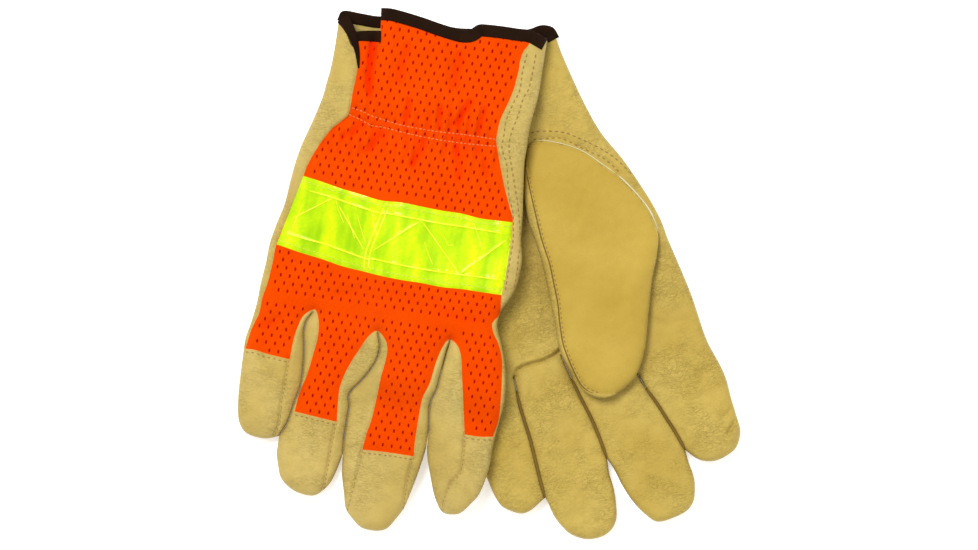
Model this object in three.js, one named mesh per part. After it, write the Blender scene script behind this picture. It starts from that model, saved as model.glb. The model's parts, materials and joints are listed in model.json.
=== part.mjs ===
// A pair of leather work gloves lying on a table, in millimetres, +Z up.
// The left glove lies palm up. The right glove lies back up, partly on top of it.
// Each glove is hollow and is built from its sewn panels in its own flat layout:
// x across the hand (thumb side positive), y along it (fingers towards -y), z up.
import * as THREE from "three";

// Where each flat layout sits on the table, and how far it is turned, in degrees.
const RIGHT = { x: -22.7, y: 121.6, turn: -8.6, back: 1 };
const LEFT = { x: -8.9, y: 97.7, turn: 20, back: -1 };

// Material thicknesses and the gaps that keep neighbouring panels apart.
const LEATHER = 1.3;
const MESH = 1.0;
const MESH_INSET = 1.1;
const TAPE = 0.8;
const ELASTIC_INSET = 3.0;
const ELASTIC = 0.8;
const BINDING = 2.6;
const SEAM_GAP = 1.6; // degrees round the tube, about 0.4 mm
const EDGE_GAP = 0.4;
const FOLD_GAP = 0.6;

// The section of every tube is a flattened round: corner angle of its panels, and its squareness.
const CORNER = 40;
const POWER = 0.625;

// Heights. The hand lies flat, so half heights are small.
const LEFT_STACK = 13.4; // what the right glove is lifted by where it lies on the left one
const THUMB_STACK = 5.4; // and by its own folded thumb
const RAMP_START = -114;
const RAMP_LENGTH = 46;

const CUFF_WIDTH = 5.6;
const HAND_STEPS = 12;
const ELASTIC_ROWS = [3.5, 4.5]; // in steps down the hand
const TAPE_ROWS = [7, 10];

// Rows are [y, centre x, half width, half height, middle z].
const RIGHT_HAND = [
  [7, -1, 53, 6.4, 6.2],
  [-20, -1.5, 53.5, 6.4, 6.2],
  [-40, -2.5, 53.2, 6.2, 6.0],
  [-62, -5.5, 56.5, 6.4, 6.2],
  [-83, -7, 60, 6.8, 6.6],
  [-107, -7.3, 62.8, 7.0, 6.8],
  [-128, -9.5, 63.5, 6.9, 6.7],
  [-149, -13, 61.5, 6.6, 6.4],
];
const LEFT_HAND = [
  [7, -3.5, 52.5, 6.2, 6.0],
  [-20, -5, 55, 6.2, 6.0],
  [-46, -3.5, 57.5, 6.2, 6.0],
  [-70, -0.5, 61.5, 6.3, 6.1],
  [-99, 1, 65.5, 6.4, 6.2],
  [-128, 1.5, 66.5, 6.4, 6.2],
  [-177, 1.5, 66.2, 6.4, 6.2],
];

const RIGHT_FOLD = { little: -149, ring: -149, middle: -149, index: -149 };
const LEFT_FOLD = { little: -147, ring: -147, middle: -176, index: -166 };

// The hand's back panel has its two edges as [y, x] rows. Columns are shares of the way between
// the edges, and each column of the hand ends where its finger folds.
const RIGHT_LAYOUT = {
  cuff: 9,
  outerEdge: [[7, -41], [-46, -43], [-62, -53], [-77, -61], [-107, -66], [-149, -71]],
  indexEdge: [[7, 44], [-18, 39], [-45, 34], [-62, 38], [-88, 46], [-126, 48], [-149, 44]],
  columns: [0, 0.1, 0.2, 0.3, 0.4, 0.5, 0.6, 0.7, 0.8, 0.9, 1],
  ends: Array(11).fill(RIGHT_FOLD.ring + FOLD_GAP),
  thumbHole: (i, j) => i >= 4 && i <= 5 && j >= 7 && j <= 8,
};
const LEFT_ENDS = [LEFT_FOLD.ring, LEFT_FOLD.middle, LEFT_FOLD.index].map((y) => y + FOLD_GAP);
const LEFT_LAYOUT = {
  cuff: 14,
  outerEdge: [[7, -42], [-46, -44], [-62, -50], [-99, -58], [-177, -58]],
  indexEdge: [[7, 40], [-46, 40], [-62, 44], [-99, 56], [-177, 58]],
  columns: [0, 0.11, 0.22, 0.33, 0.45, 0.465, 0.58, 0.68, 0.77, 0.785, 0.89, 1],
  ends: [0, 0, 0, 0, 0, 1, 1, 1, 1, 2, 2, 2].map((k) => LEFT_ENDS[k]),
  thumbHole: (i, j) => i >= 4 && i <= 5 && j >= 6 && j <= 7,
};

// Fingers: rows as above, then where the fingertip cap starts.
const RIGHT_FINGERS = {
  little: {
    steps: 8,
    cap: 3,
    rows: [
      [-149, -60.6, 13.6, 6.2, 6.0], [-165, -62.2, 13.6, 6.3, 6.1], [-182, -62.2, 13.8, 6.2, 6.0],
      [-197, -63.2, 13.2, 5.9, 5.7], [-208, -63.2, 10.4, 5.1, 4.9], [-216, -62.6, 4.2, 3.2, 3.6],
    ],
  },
  ring: {
    steps: 7,
    cap: 4,
    rows: [
      [-149, -28.6, 16.8, 6.4, 6.2], [-165, -29, 16.2, 6.6, 6.4], [-182, -31, 14, 6.5, 6.3],
      [-192, -33, 13.2, 6.4, 6.2], [-207, -35, 14, 6.4, 6.2], [-222, -36.4, 15.0, 6.3, 6.1],
      [-234, -37.4, 11.4, 5.4, 5.2], [-241, -36.4, 4.6, 3.2, 3.6],
    ],
  },
  middle: {
    steps: 8,
    cap: 5,
    rows: [
      [-149, 7.4, 17, 6.6, 6.4], [-166, 7.4, 15.6, 6.7, 6.5], [-181, 4.4, 16.4, 6.7, 6.5],
      [-192, 2.8, 17, 6.7, 6.5], [-207, 2.2, 17.6, 6.6, 6.4], [-222, 0.2, 17.4, 6.4, 6.2],
      [-237, -1, 14.2, 5.9, 5.7], [-247, -0.6, 9.8, 4.8, 4.6], [-253, 0.6, 4.2, 3.2, 3.6],
    ],
  },
  index: {
    steps: 7,
    cap: 4,
    rows: [
      [-149, 38.2, 11.8, 6.4, 6.2], [-165, 40.8, 14.6, 6.6, 6.4], [-185, 40, 16.6, 6.6, 6.4],
      [-205, 40.2, 15.4, 6.4, 6.2], [-220, 40.2, 13.0, 5.9, 5.7], [-232, 40, 8.6, 4.9, 4.7],
      [-240, 40, 4.0, 3.2, 3.6],
    ],
  },
};
const LEFT_FINGERS = {
  little: {
    steps: 8,
    cap: 3,
    rows: [
      [-147, -49.6, 14.2, 5.4, 5.2], [-165, -50.8, 13.4, 5.4, 5.2], [-190, -51, 12.0, 5.2, 5.0],
      [-205, -49.6, 9.2, 4.6, 4.4], [-214, -48.8, 4.0, 2.9, 3.0],
    ],
  },
  ring: {
    steps: 7,
    cap: 4,
    rows: [
      [-147, -18.6, 12.2, 6.0, 5.8], [-165, -19.4, 13.2, 6.3, 6.1], [-185, -19.2, 15.6, 6.4, 6.2],
      [-205, -19.4, 16.2, 6.3, 6.1], [-220, -19.6, 14.6, 5.9, 5.7], [-232, -19.8, 10.0, 4.9, 4.7],
      [-239, -21.4, 4.6, 3.2, 3.6],
    ],
  },
  middle: {
    steps: 7,
    cap: 3,
    rows: [
      [-176, 15.8, 17.4, 6.2, 6.0], [-200, 18, 18.0, 6.3, 6.1], [-213, 19.6, 18.2, 6.2, 6.0],
      [-228, 20.4, 15.4, 5.6, 5.4], [-238, 20.4, 9.8, 4.7, 4.5], [-243, 18.4, 4.4, 3.2, 3.6],
    ],
  },
  index: {
    steps: 5,
    cap: 2,
    rows: [
      [-166, 51.2, 16.2, 6.2, 6.0], [-185, 52.4, 16.4, 6.3, 6.1], [-203, 53.4, 15.2, 6.0, 5.8],
      [-214, 52.8, 12.2, 5.1, 4.9], [-222, 50.4, 5.2, 3.2, 3.6],
    ],
  },
};
const LEFT_THUMB = [
  [-66, 27.8, 22.0, 5.6, 18.9], [-86, 32.4, 27.8, 5.9, 19.2], [-105, 32.2, 29.6, 6.0, 19.3],
  [-127, 24.8, 25.8, 6.0, 19.3], [-148, 18.8, 22.2, 5.8, 19.1], [-162, 15.2, 16.6, 5.2, 18.5],
  [-170, 13, 8.8, 4.0, 17.4], [-173, 12.4, 4.2, 2.8, 16.4],
];
const LEFT_THUMB_FLOOR = 13.3;
const LEFT_WING = [
  [-40, 25, 8.5, 1.8, 14.6], [-50, 28, 16.5, 3.6, 16.6], [-65.4, 27.6, 22.0, 5.6, 18.9],
];
const RIGHT_THUMB = [
  [-44, 30, 15, 2.2, -2.7], [-66, 27.8, 21, 2.2, -2.7], [-95, 28, 22, 2.2, -2.7],
  [-127, 24, 21, 2.2, -2.7], [-150, 18.8, 18, 2.2, -2.7], [-164, 14.5, 12, 2.0, -2.7],
  [-171, 12.6, 6, 1.8, -2.7],
];

function smooth(t) {
  const c = Math.min(1, Math.max(0, t));
  return c * c * (3 - 2 * c);
}

// Reads a list of rows that runs down in y, straight between its rows.
function rowAt(rows, y) {
  let i = 1;
  while (i < rows.length - 1 && rows[i][0] > y) i += 1;
  const [a, b] = [rows[i - 1], rows[i]];
  const f = Math.min(1, Math.max(0, (y - a[0]) / (b[0] - a[0])));
  return a.map((value, k) => value + f * (b[k] - value));
}

// Turns a point of a flat layout into a point on the table.
function onTable(glove, x, y, z) {
  const turn = THREE.MathUtils.degToRad(glove.turn);
  const c = Math.cos(turn);
  const s = Math.sin(turn);
  return [glove.x + c * x - s * y, glove.y + s * x + c * y, z];
}

// How high the right glove is lifted at a point of its own layout, by what lies under it.
function drape(x, y) {
  const [tx, ty] = onTable(RIGHT, x, y, 0);
  const turn = THREE.MathUtils.degToRad(LEFT.turn);
  const acrossLeft = Math.cos(turn) * (tx - LEFT.x) + Math.sin(turn) * (ty - LEFT.y);
  const onGlove = LEFT_STACK * smooth((acrossLeft - RAMP_START) / RAMP_LENGTH);
  const along = smooth((-14 - y) / 24) * smooth((y + 194) / 20);
  return onGlove + THUMB_STACK * smooth((x + 30) / 24) * along;
}

function place(glove, [x, y, z]) {
  const lift = glove === RIGHT ? drape(x, y) : 0;
  return onTable(glove, x, y, z + lift);
}

// A point on a tube's section: angle 0 is the thumb side, 90 the back of the hand.
function rim(glove, rows, y, angle, inset, floor) {
  const [, cx, w, h, mid] = rowAt(rows, y);
  const a = THREE.MathUtils.degToRad(angle);
  const c = Math.cos(a);
  const s = Math.sin(a) * glove.back;
  const depth = Math.min(inset, 0.62 * h);
  const x = cx + (w - Math.min(inset, 0.7 * w)) * Math.sign(c) * Math.abs(c) ** POWER;
  const z = mid + (h - depth) * Math.sign(s) * Math.abs(s) ** POWER;
  return [x, y, Math.max(z, floor + depth)];
}

// The section angle, on the back half, at which a tube reaches a given x.
function angleAt(rows, y, x) {
  const [, cx, w] = rowAt(rows, y);
  const u = Math.min(0.995, Math.max(-0.995, (x - cx) / w));
  return THREE.MathUtils.radToDeg(Math.acos(Math.sign(u) * Math.abs(u) ** (1 / POWER)));
}

// Makes a geometry from triangle corners, with its faces turned outwards.
function solid(positions) {
  const corners = [];
  for (let i = 0; i < positions.length; i += 3) {
    corners.push(new THREE.Vector3().fromArray(positions, i));
  }
  let volume = 0;
  for (let i = 0; i < corners.length; i += 3) {
    const [a, b, c] = corners.slice(i, i + 3);
    volume += a.dot(b.clone().cross(c));
  }
  if (volume < 0) {
    for (let i = 0; i < corners.length; i += 3) {
      [corners[i + 1], corners[i + 2]] = [corners[i + 2], corners[i + 1]];
    }
  }
  const geometry = new THREE.BufferGeometry().setFromPoints(corners);
  geometry.computeVertexNormals();
  return geometry;
}

// A closed sheet from a grid of outer and inner points. Cells for which open() holds are left out.
function sheet(rows, cols, pointAt, open = () => false) {
  const positions = [];
  const quad = (a, b, c, d) => positions.push(...a, ...b, ...c, ...a, ...c, ...d);
  const grid = [0, 1].map((side) =>
    Array.from({ length: rows + 1 }, (_, i) =>
      Array.from({ length: cols + 1 }, (_, j) => pointAt(i, j, side)),
    ),
  );
  const kept = (i, j) => i >= 0 && j >= 0 && i < rows && j < cols && !open(i, j);
  const [outer, inner] = grid;
  for (let i = 0; i < rows; i += 1) {
    for (let j = 0; j < cols; j += 1) {
      if (!kept(i, j)) continue;
      quad(outer[i][j], outer[i][j + 1], outer[i + 1][j + 1], outer[i + 1][j]);
      quad(inner[i][j], inner[i + 1][j], inner[i + 1][j + 1], inner[i][j + 1]);
      const edges = [
        [i - 1, j, i, j, i, j + 1],
        [i + 1, j, i + 1, j + 1, i + 1, j],
        [i, j - 1, i + 1, j, i, j],
        [i, j + 1, i, j + 1, i + 1, j + 1],
      ];
      for (const [ni, nj, ai, aj, bi, bj] of edges) {
        if (kept(ni, nj)) continue;
        quad(outer[bi][bj], outer[ai][aj], inner[ai][aj], inner[bi][bj]);
      }
    }
  }
  return solid(positions);
}

const COLOURS = {
  leather: 0xcdb46b,
  thumb: 0xcfae5c,
  mesh: 0xff5505,
  tape: 0xd7f005,
  binding: 0x321c0f,
  elastic: 0xd8d4c8,
};
const group = new THREE.Group();

function add(name, colour, geometry) {
  const material = new THREE.MeshStandardMaterial({ color: COLOURS[colour], roughness: 0.8 });
  const mesh = new THREE.Mesh(geometry, material);
  mesh.name = name;
  group.add(mesh);
}

// One panel of a tube between two section angles and two y values.
function panel(glove, rows, spec) {
  const { top, low, from, to, inset = 0, thick = LEATHER, floor = 0, steps = 5, across = 4 } = spec;
  return sheet(steps, across, (i, j, side) => {
    const y = top + (i / steps) * (low - top);
    const a0 = typeof from === "function" ? from(y) : from;
    const a1 = typeof to === "function" ? to(y) : to;
    const angle = a0 + (j / across) * (a1 - a0);
    return place(glove, rim(glove, rows, y, angle, inset + side * thick, floor));
  });
}

// One wide panel of a hand, between two edges given in x. Its columns are spread as the fractions
// in "columns", and each column ends at its own y.
function widePanel(glove, rows, spec) {
  const { top, steps, columns, ends, from, to, palm, inset = 0, thick = LEATHER, open } = spec;
  return sheet(steps, columns.length - 1, (i, j, side) => {
    const y = top + (i / steps) * (ends[j] - top);
    const x = from(y) + columns[j] * (to(y) - from(y));
    const angle = angleAt(rows, y, x);
    return place(glove, rim(glove, rows, y, palm ? -angle : angle, inset + side * thick, 0));
  }, open);
}

// A whole ring round a tube, such as the cuff binding.
function ring(glove, rows, top, low, inset, thick) {
  const steps = 28;
  const positions = [];
  const quad = (a, b, c, d) => positions.push(...a, ...c, ...b, ...a, ...d, ...c);
  const corner = (k, y, side) => {
    const angle = (360 * (k % steps)) / steps;
    return place(glove, rim(glove, rows, y, angle, inset + side * thick, 0));
  };
  for (let k = 0; k < steps; k += 1) {
    const loop = [[top, 0], [low, 0], [low, 1], [top, 1]];
    for (let e = 0; e < 4; e += 1) {
      const [y0, s0] = loop[e];
      const [y1, s1] = loop[(e + 1) % 4];
      quad(corner(k, y0, s0), corner(k + 1, y0, s0), corner(k + 1, y1, s1), corner(k, y1, s1));
    }
  }
  return solid(positions);
}

// The hand's own panels.
function addHand(side, glove, hand, layout) {
  const { cuff, outerEdge, indexEdge, columns, ends } = layout;
  const outer = (y) => rowAt(outerEdge, y)[1];
  const index = (y) => rowAt(indexEdge, y)[1];
  const low = ends[0];
  const indexLow = ends[ends.length - 1];
  const start = cuff - CUFF_WIDTH - FOLD_GAP;
  const stepsDown = (k, end) => start + (k / HAND_STEPS) * (end - start);
  const back = {
    top: start, steps: HAND_STEPS, columns, ends,
    from: (y) => outer(y) + EDGE_GAP, to: (y) => index(y) - EDGE_GAP,
  };
  add(side + "_back_mesh", "mesh",
    widePanel(glove, hand, { ...back, inset: MESH_INSET, thick: MESH }));
  add(side + "_reflective_tape", "tape", widePanel(glove, hand, {
    ...back, thick: TAPE, top: stepsDown(TAPE_ROWS[0], low), steps: TAPE_ROWS[1] - TAPE_ROWS[0],
    ends: ends.map(() => stepsDown(TAPE_ROWS[1], low)),
  }));
  add(side + "_wrist_elastic", "elastic", widePanel(glove, hand, {
    ...back, top: stepsDown(ELASTIC_ROWS[0], low), steps: 2,
    ends: ends.map(() => stepsDown(ELASTIC_ROWS[1], low)), inset: ELASTIC_INSET, thick: ELASTIC,
  }));
  const edgeOfPalm = (y, sign) => rim(glove, hand, y, sign < 0 ? 180 + CORNER : -CORNER, 0, 0)[0];
  add(side + "_palm_leather", "leather", widePanel(glove, hand, {
    ...back, palm: true, from: (y) => edgeOfPalm(y, -1) + EDGE_GAP,
    to: (y) => edgeOfPalm(y, 1) - EDGE_GAP, open: layout.thumbHole,
  }));
  add(side + "_outer_edge_leather", "leather", panel(glove, hand, {
    top: start, low, steps: HAND_STEPS, across: 5,
    from: (y) => angleAt(hand, y, outer(y) - EDGE_GAP), to: 180 + CORNER,
  }));
  add(side + "_index_side_strip", "leather", panel(glove, hand, {
    top: start, low: indexLow, steps: HAND_STEPS, across: 5,
    from: -CORNER, to: (y) => angleAt(hand, y, index(y) + EDGE_GAP),
  }));
  add(side + "_cuff_binding", "binding", ring(glove, hand, cuff, cuff - CUFF_WIDTH, 0, BINDING));
}

// One finger's panels. The palm side runs to the tip; the back is mesh, then a cap.
function addFinger(side, glove, name, finger, fold) {
  const { rows, cap, steps } = finger;
  const tip = rows[rows.length - 1][0];
  const top = fold - FOLD_GAP;
  const prefix = side + "_" + name + "_";
  const wrapsOuter = name === "little";
  const corner = CORNER + SEAM_GAP;
  const capStart = top + (cap / steps) * (tip - top);
  const whole = { top, low: tip, steps };
  add(prefix + "back_mesh", "mesh", panel(glove, rows, {
    top, low: capStart + EDGE_GAP, from: corner, to: 180 - corner,
    inset: MESH_INSET, thick: MESH, steps: cap,
  }));
  add(prefix + "tip_cap", "leather", panel(glove, rows, {
    top: capStart, low: tip, from: corner, to: 180 - corner, steps: steps - cap,
  }));
  add(prefix + "palm_side", "leather", panel(glove, rows, {
    ...whole, from: wrapsOuter ? 180 - CORNER + SEAM_GAP : 180 + corner, to: 360 - corner,
    across: wrapsOuter ? 6 : 4,
  }));
  add(prefix + (name === "index" ? "outer_side" : "inner_fourchette"), "leather",
    panel(glove, rows, { ...whole, from: -CORNER + SEAM_GAP, to: CORNER - SEAM_GAP, across: 3 }));
  if (!wrapsOuter) {
    add(prefix + "outer_fourchette", "leather", panel(glove, rows, {
      ...whole, from: 180 - CORNER + SEAM_GAP, to: 180 + CORNER - SEAM_GAP, across: 3,
    }));
  }
}

addHand("right", RIGHT, RIGHT_HAND, RIGHT_LAYOUT);
addHand("left", LEFT, LEFT_HAND, LEFT_LAYOUT);
for (const name of ["little", "ring", "middle", "index"]) {
  addFinger("right", RIGHT, name, RIGHT_FINGERS[name], RIGHT_FOLD[name]);
  addFinger("left", LEFT, name, LEFT_FINGERS[name], LEFT_FOLD[name]);
}

// The left thumb is folded over its palm, so its own floor is the palm leather.
const thumb = { top: -66 - FOLD_GAP, low: -173, steps: 9, floor: LEFT_THUMB_FLOOR };
const edge = CORNER + SEAM_GAP;
add("left_thumb_outer_panel", "thumb",
  panel(LEFT, LEFT_THUMB, { ...thumb, from: 180 + edge, to: 360 - edge, across: 6 }));
add("left_thumb_inner_panel", "thumb",
  panel(LEFT, LEFT_THUMB, { ...thumb, from: edge, to: 180 - edge, across: 4 }));
add("left_thumb_welt", "leather",
  panel(LEFT, LEFT_THUMB, { ...thumb, from: 180 - CORNER + SEAM_GAP, to: 180 + CORNER - SEAM_GAP }));
add("left_thumb_side", "leather",
  panel(LEFT, LEFT_THUMB, { ...thumb, from: -CORNER + SEAM_GAP, to: CORNER - SEAM_GAP }));
add("left_thumb_wing", "leather", panel(LEFT, LEFT_WING, {
  top: -40, low: -65.4, from: 180 + 24, to: 360 - 24, floor: LEFT_THUMB_FLOOR, steps: 3, across: 6,
}));

// The right thumb is folded flat under its own palm.
const folded = { top: -44, low: -171, steps: 8, thick: 1.2, floor: -99, across: 4 };
add("right_thumb_outer_panel", "thumb",
  panel(RIGHT, RIGHT_THUMB, { ...folded, from: 180 + 12, to: 360 - 12 }));
add("right_thumb_inner_panel", "thumb",
  panel(RIGHT, RIGHT_THUMB, { ...folded, from: 12, to: 180 - 12 }));

// The origin is the middle of the footprint, on the table.
const box = new THREE.Box3().setFromObject(group);
const middle = box.getCenter(new THREE.Vector3());
group.position.set(-middle.x, -middle.y, -box.min.z);

export default group;
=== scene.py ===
"""The looks of a pair of leather work gloves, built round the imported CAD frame.

Each glove is drawn in its own flat layout, in millimetres: x across the hand (thumb side
positive), y along it (fingers towards -y), z up from the table. The layouts are placed from
the frame's joints. Sheets are triangulated in the layout and then given their heights."""
import bpy, json, math
import numpy as np
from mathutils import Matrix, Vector
from mathutils.geometry import delaunay_2d_cdt
from mathutils.kdtree import KDTree


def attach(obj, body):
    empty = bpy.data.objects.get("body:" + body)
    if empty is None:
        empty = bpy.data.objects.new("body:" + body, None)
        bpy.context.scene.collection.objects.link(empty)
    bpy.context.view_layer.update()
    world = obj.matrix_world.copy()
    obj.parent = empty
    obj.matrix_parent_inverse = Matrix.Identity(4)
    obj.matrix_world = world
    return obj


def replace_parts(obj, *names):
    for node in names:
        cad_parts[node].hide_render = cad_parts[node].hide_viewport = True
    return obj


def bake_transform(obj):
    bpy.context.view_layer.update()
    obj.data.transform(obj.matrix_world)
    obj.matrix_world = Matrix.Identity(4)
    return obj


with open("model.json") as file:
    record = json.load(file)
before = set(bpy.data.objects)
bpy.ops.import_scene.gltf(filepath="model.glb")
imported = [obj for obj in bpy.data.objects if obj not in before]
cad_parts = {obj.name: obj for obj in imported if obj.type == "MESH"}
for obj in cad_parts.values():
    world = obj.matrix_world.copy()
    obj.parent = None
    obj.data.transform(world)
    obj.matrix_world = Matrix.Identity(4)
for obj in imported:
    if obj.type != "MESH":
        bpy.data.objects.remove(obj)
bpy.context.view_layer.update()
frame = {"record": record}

MM = 0.001
LEFT_STACK = 13.4           # the right glove's height over the left one
THUMB_STACK = 5.4           # and more over the left thumb
MIDDLE = 6.3                # a glove's middle height over what it lies on
HOLE_X, HOLE_Y = 4.6, 3.9   # the knit's staggered holes: pitch across, and between rows
HOLE_WIDE, HOLE_LONG = 1.1, 2.1
KEY_POWER, FILL_POWER, SKY = 45, 5, 0.72
CAMERA = (1.14, -1.4)       # what the camera is over, in millimetres
CAMERA_HEIGHT, LENS = 12.0, 865.0   # metres and millimetres: far off, so nearly without perspective
FLOOR_GLOW = 0.42           # weakens the shadows, as in the photograph
UV = 0.01
LEATHER_THICK, THUMB_THICK, TUCKED_THICK, TAPE_THICK = 1.1, 1.0, 0.9, 0.6
RIGHT_ROOT = (-147, -163)   # where a right finger starts and stops bending, along the layout's y
THUMB_ROOT = (-62, -88)     # and the left thumb
BENDS = {}
JOINTS = {j["name"]: j for j in frame["record"]["behaviour"]["joints"]}


# ---------------------------------------------------------------- layouts and small tools
class Layout:
    """A glove's flat layout, placed by one of its fold joints and that joint's layout point."""

    def __init__(self, joint, at):
        j = JOINTS[joint]
        ex = -np.array(j["axis"][:2], float)
        self.ex = ex / np.linalg.norm(ex)
        self.ey = np.array([-self.ex[1], self.ex[0]])
        self.o = np.array(j["pos_m"][:2], float) / MM - at[0] * self.ex - at[1] * self.ey

    def world(self, P, z):
        P = np.asarray(P, float)
        xy = self.o + P[:, :1] * self.ex + P[:, 1:2] * self.ey
        return np.column_stack([xy, z]) * MM

    def point(self, x, y, z):
        return Vector(self.world([[x, y]], [z])[0])

    def to(self, other, P):
        """Points of this layout, in another glove's layout."""
        P = np.asarray(P, float)
        xy = self.o + P[:, :1] * self.ex + P[:, 1:2] * self.ey - other.o
        return np.column_stack([xy @ other.ex, xy @ other.ey])


R = Layout("right_ring_fold", (-28, -149))
L = Layout("left_ring_fold", (-19, -147))


def smooth(t):
    t = np.clip(t, 0, 1)
    return t * t * (3 - 2 * t)


def curve(points, step=1.3, closed=False):
    """A smooth line through given points, sampled about every step mm."""
    p = np.asarray(points, float)
    n = len(p)
    if n < 3:
        k = max(1, int(np.ceil(np.linalg.norm(p[1] - p[0]) / step)))
        return p[0] + (p[1] - p[0]) * np.linspace(0, 1, k + 1)[:, None]
    out = []
    for i in range(n if closed else n - 1):
        a, b = p[i], p[(i + 1) % n]
        before = p[(i - 1) % n] if closed or i else 2 * a - b
        after = p[(i + 2) % n] if closed or i < n - 2 else 2 * b - a
        k = max(1, int(np.ceil(np.linalg.norm(b - a) / step)))
        t = (np.arange(k) / k)[:, None]
        m0, m1 = (b - before) * 0.5, (after - a) * 0.5
        limit = np.linalg.norm(b - a)
        m0 *= min(1, limit / max(np.linalg.norm(m0), 1e-9))
        m1 *= min(1, limit / max(np.linalg.norm(m1), 1e-9))
        out.append((2 * t**3 - 3 * t**2 + 1) * a + (t**3 - 2 * t**2 + t) * m0
                   + (-2 * t**3 + 3 * t**2) * b + (t**3 - t**2) * m1)
    if not closed:
        out.append(p[-1:])
    return np.vstack(out)


def nearest(P, line, closed=False):
    """For each point: distance to a line, share of the way along it, and which side it is on."""
    line = np.asarray(line, float)
    a = line if closed else line[:-1]
    b = np.roll(line, -1, 0) if closed else line[1:]
    d = b - a
    dd = np.maximum((d**2).sum(1), 1e-12)
    if not len(P):
        return (np.zeros(0),) * 3
    tree = KDTree(len(a))
    for i, (x, y) in enumerate((a + b) / 2):
        tree.insert((x, y, 0), i)
    tree.balance()
    close = np.array([tree.find((x, y, 0))[1] for x, y in P])
    best = np.full(len(P), np.inf)
    along, side = np.zeros(len(P)), np.ones(len(P))
    for step in (0, -1, 1, -2, 2):
        i = (close + step) % len(a) if closed else np.clip(close + step, 0, len(a) - 1)
        q = P - a[i]
        t = np.clip((q * d[i]).sum(1) / dd[i], 0, 1)
        g = ((q - t[:, None] * d[i])**2).sum(1)
        better = g < best
        best[better] = g[better]
        along[better] = ((i + t) / len(a))[better]
        side[better] = np.sign(d[i, 0] * q[:, 1] - d[i, 1] * q[:, 0])[better]
    return np.sqrt(best), along, side


def inside(P, poly):
    poly = np.asarray(poly, float)
    a, b = poly, np.roll(poly, -1, 0)
    hit = np.zeros(len(P), bool)
    for (x0, y0), (x1, y1) in zip(a, b):
        if y0 == y1:
            continue
        cross = (P[:, 1] > y0) != (P[:, 1] > y1)
        hit ^= cross & (P[:, 0] < (x1 - x0) * (P[:, 1] - y0) / (y1 - y0) + x0)
    return hit


def noise(P, size, seed=0, stretch=(1, 1)):
    """Smooth value noise, about -1 to 1, with features about size mm across."""
    q = np.asarray(P, float)[:, :2] * np.array(stretch) / size + 37.3 * (seed + 1)
    i = np.floor(q).astype(np.int64)
    f = q - i
    f = f * f * (3 - 2 * f)

    def h(x, y):
        v = (x * 374761393 + y * 668265263 + seed * 982451653) & 0xFFFFFFFF
        v = ((v ^ (v >> 13)) * 1274126177) & 0xFFFFFFFF
        return ((v ^ (v >> 16)) & 0xFFFF) / 32767.5 - 1

    x, y = i[:, 0], i[:, 1]
    top = h(x, y) * (1 - f[:, 0]) + h(x + 1, y) * f[:, 0]
    low = h(x, y + 1) * (1 - f[:, 0]) + h(x + 1, y + 1) * f[:, 0]
    return top * (1 - f[:, 1]) + low * f[:, 1]


def shifted(line, by):
    """The same line moved sideways, to the left of its direction."""
    line = np.asarray(line, float)
    t = np.gradient(line, axis=0)
    t /= np.maximum(np.linalg.norm(t, axis=1), 1e-9)[:, None]
    return line + by * np.column_stack([-t[:, 1], t[:, 0]])


# The right glove's outline and seams, in its layout, in mm.
R_OUTER_SIDE = [
    (-54.5, -1), (-54.5, -14.5), (-55, -25), (-56, -32.5), (-57, -40.5), (-60.5, -54), (-64, -66),
    (-66, -77), (-67, -86), (-68, -96.5), (-70.5, -107), (-72.5, -117.5), (-73, -128),
    (-74, -138.5), (-74.5, -149), (-76, -159.5), (-77.5, -167.5), (-77.5, -175), (-77, -193),
    (-76, -203.5), (-74.5, -209.5), (-71.5, -214), (-67, -216), (-60.5, -216.5), (-56.5, -215.5),
    (-53, -214)]
R_CREASE1 = [
    (-45.5, -149), (-48, -154), (-48.5, -160), (-47.5, -165.5), (-46.5, -173), (-46, -186),
    (-48, -196.5), (-50, -207), (-53, -214)]
R_RING_TIP = [
    (-53, -214), (-53, -218.5), (-53, -223), (-51.5, -228.5), (-49, -235), (-43.5, -239.5),
    (-37.5, -241.5), (-31, -241.5), (-26.5, -238), (-23, -232.5), (-20.5, -223.5), (-19.5, -218)]
R_CREASE2 = [
    (-11, -154.5), (-9, -161), (-9.5, -167.5), (-12.5, -174.5), (-16.5, -181), (-20, -185.5),
    (-21, -189), (-20, -192.5), (-20, -200), (-20, -210.5), (-19.5, -218)]
R_MIDDLE_TIP = [
    (-19.5, -218), (-18.5, -228), (-16, -238), (-14, -245.5), (-10, -250), (-4.5, -254),
    (3.5, -254.5), (8.5, -252.5), (12.5, -246.5), (15.5, -241), (18, -231.5), (20.5, -219.5),
    (22, -209), (22, -199)]
R_CREASE3 = [
    (26, -152.5), (25, -159.5), (24, -168.5), (23, -178), (21, -184.5), (21, -191), (22, -199)]
R_INDEX_TIP = [
    (22, -199), (23, -211.5), (26, -221.5), (29.5, -231.5), (33.5, -238.5), (36.5, -240.5),
    (42.5, -240), (46, -237.5), (49, -233.5), (52, -229), (54, -222.5), (55.5, -212), (55.5, -204),
    (56.5, -193.5)]
R_INDEX_SIDE = [
    (56.5, -193.5), (57.5, -185.5), (58, -178), (57, -168), (55, -159), (52, -150.5),
    (49.5, -144.5), (48.5, -140), (49.5, -134), (53, -127), (55, -121.5), (56, -114), (56, -106),
    (54, -96), (53, -83.5), (52, -75.5), (50, -58), (50, -50), (50, -41.5), (50.5, -34.5),
    (51.5, -26.5), (52, -19), (52, -8.5), (52, -3.5), (52, 6)]
R_CUFF = [
    (52, 6), (43.5, 9), (36, 9), (28, 9), (18, 8.5), (15.5, 7.5), (13.5, 5.5), (12, 4.5), (8, 4),
    (-2.5, 5.5), (-13, 7.5), (-23.5, 9), (-29, 9.5), (-34, 9)]
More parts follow.
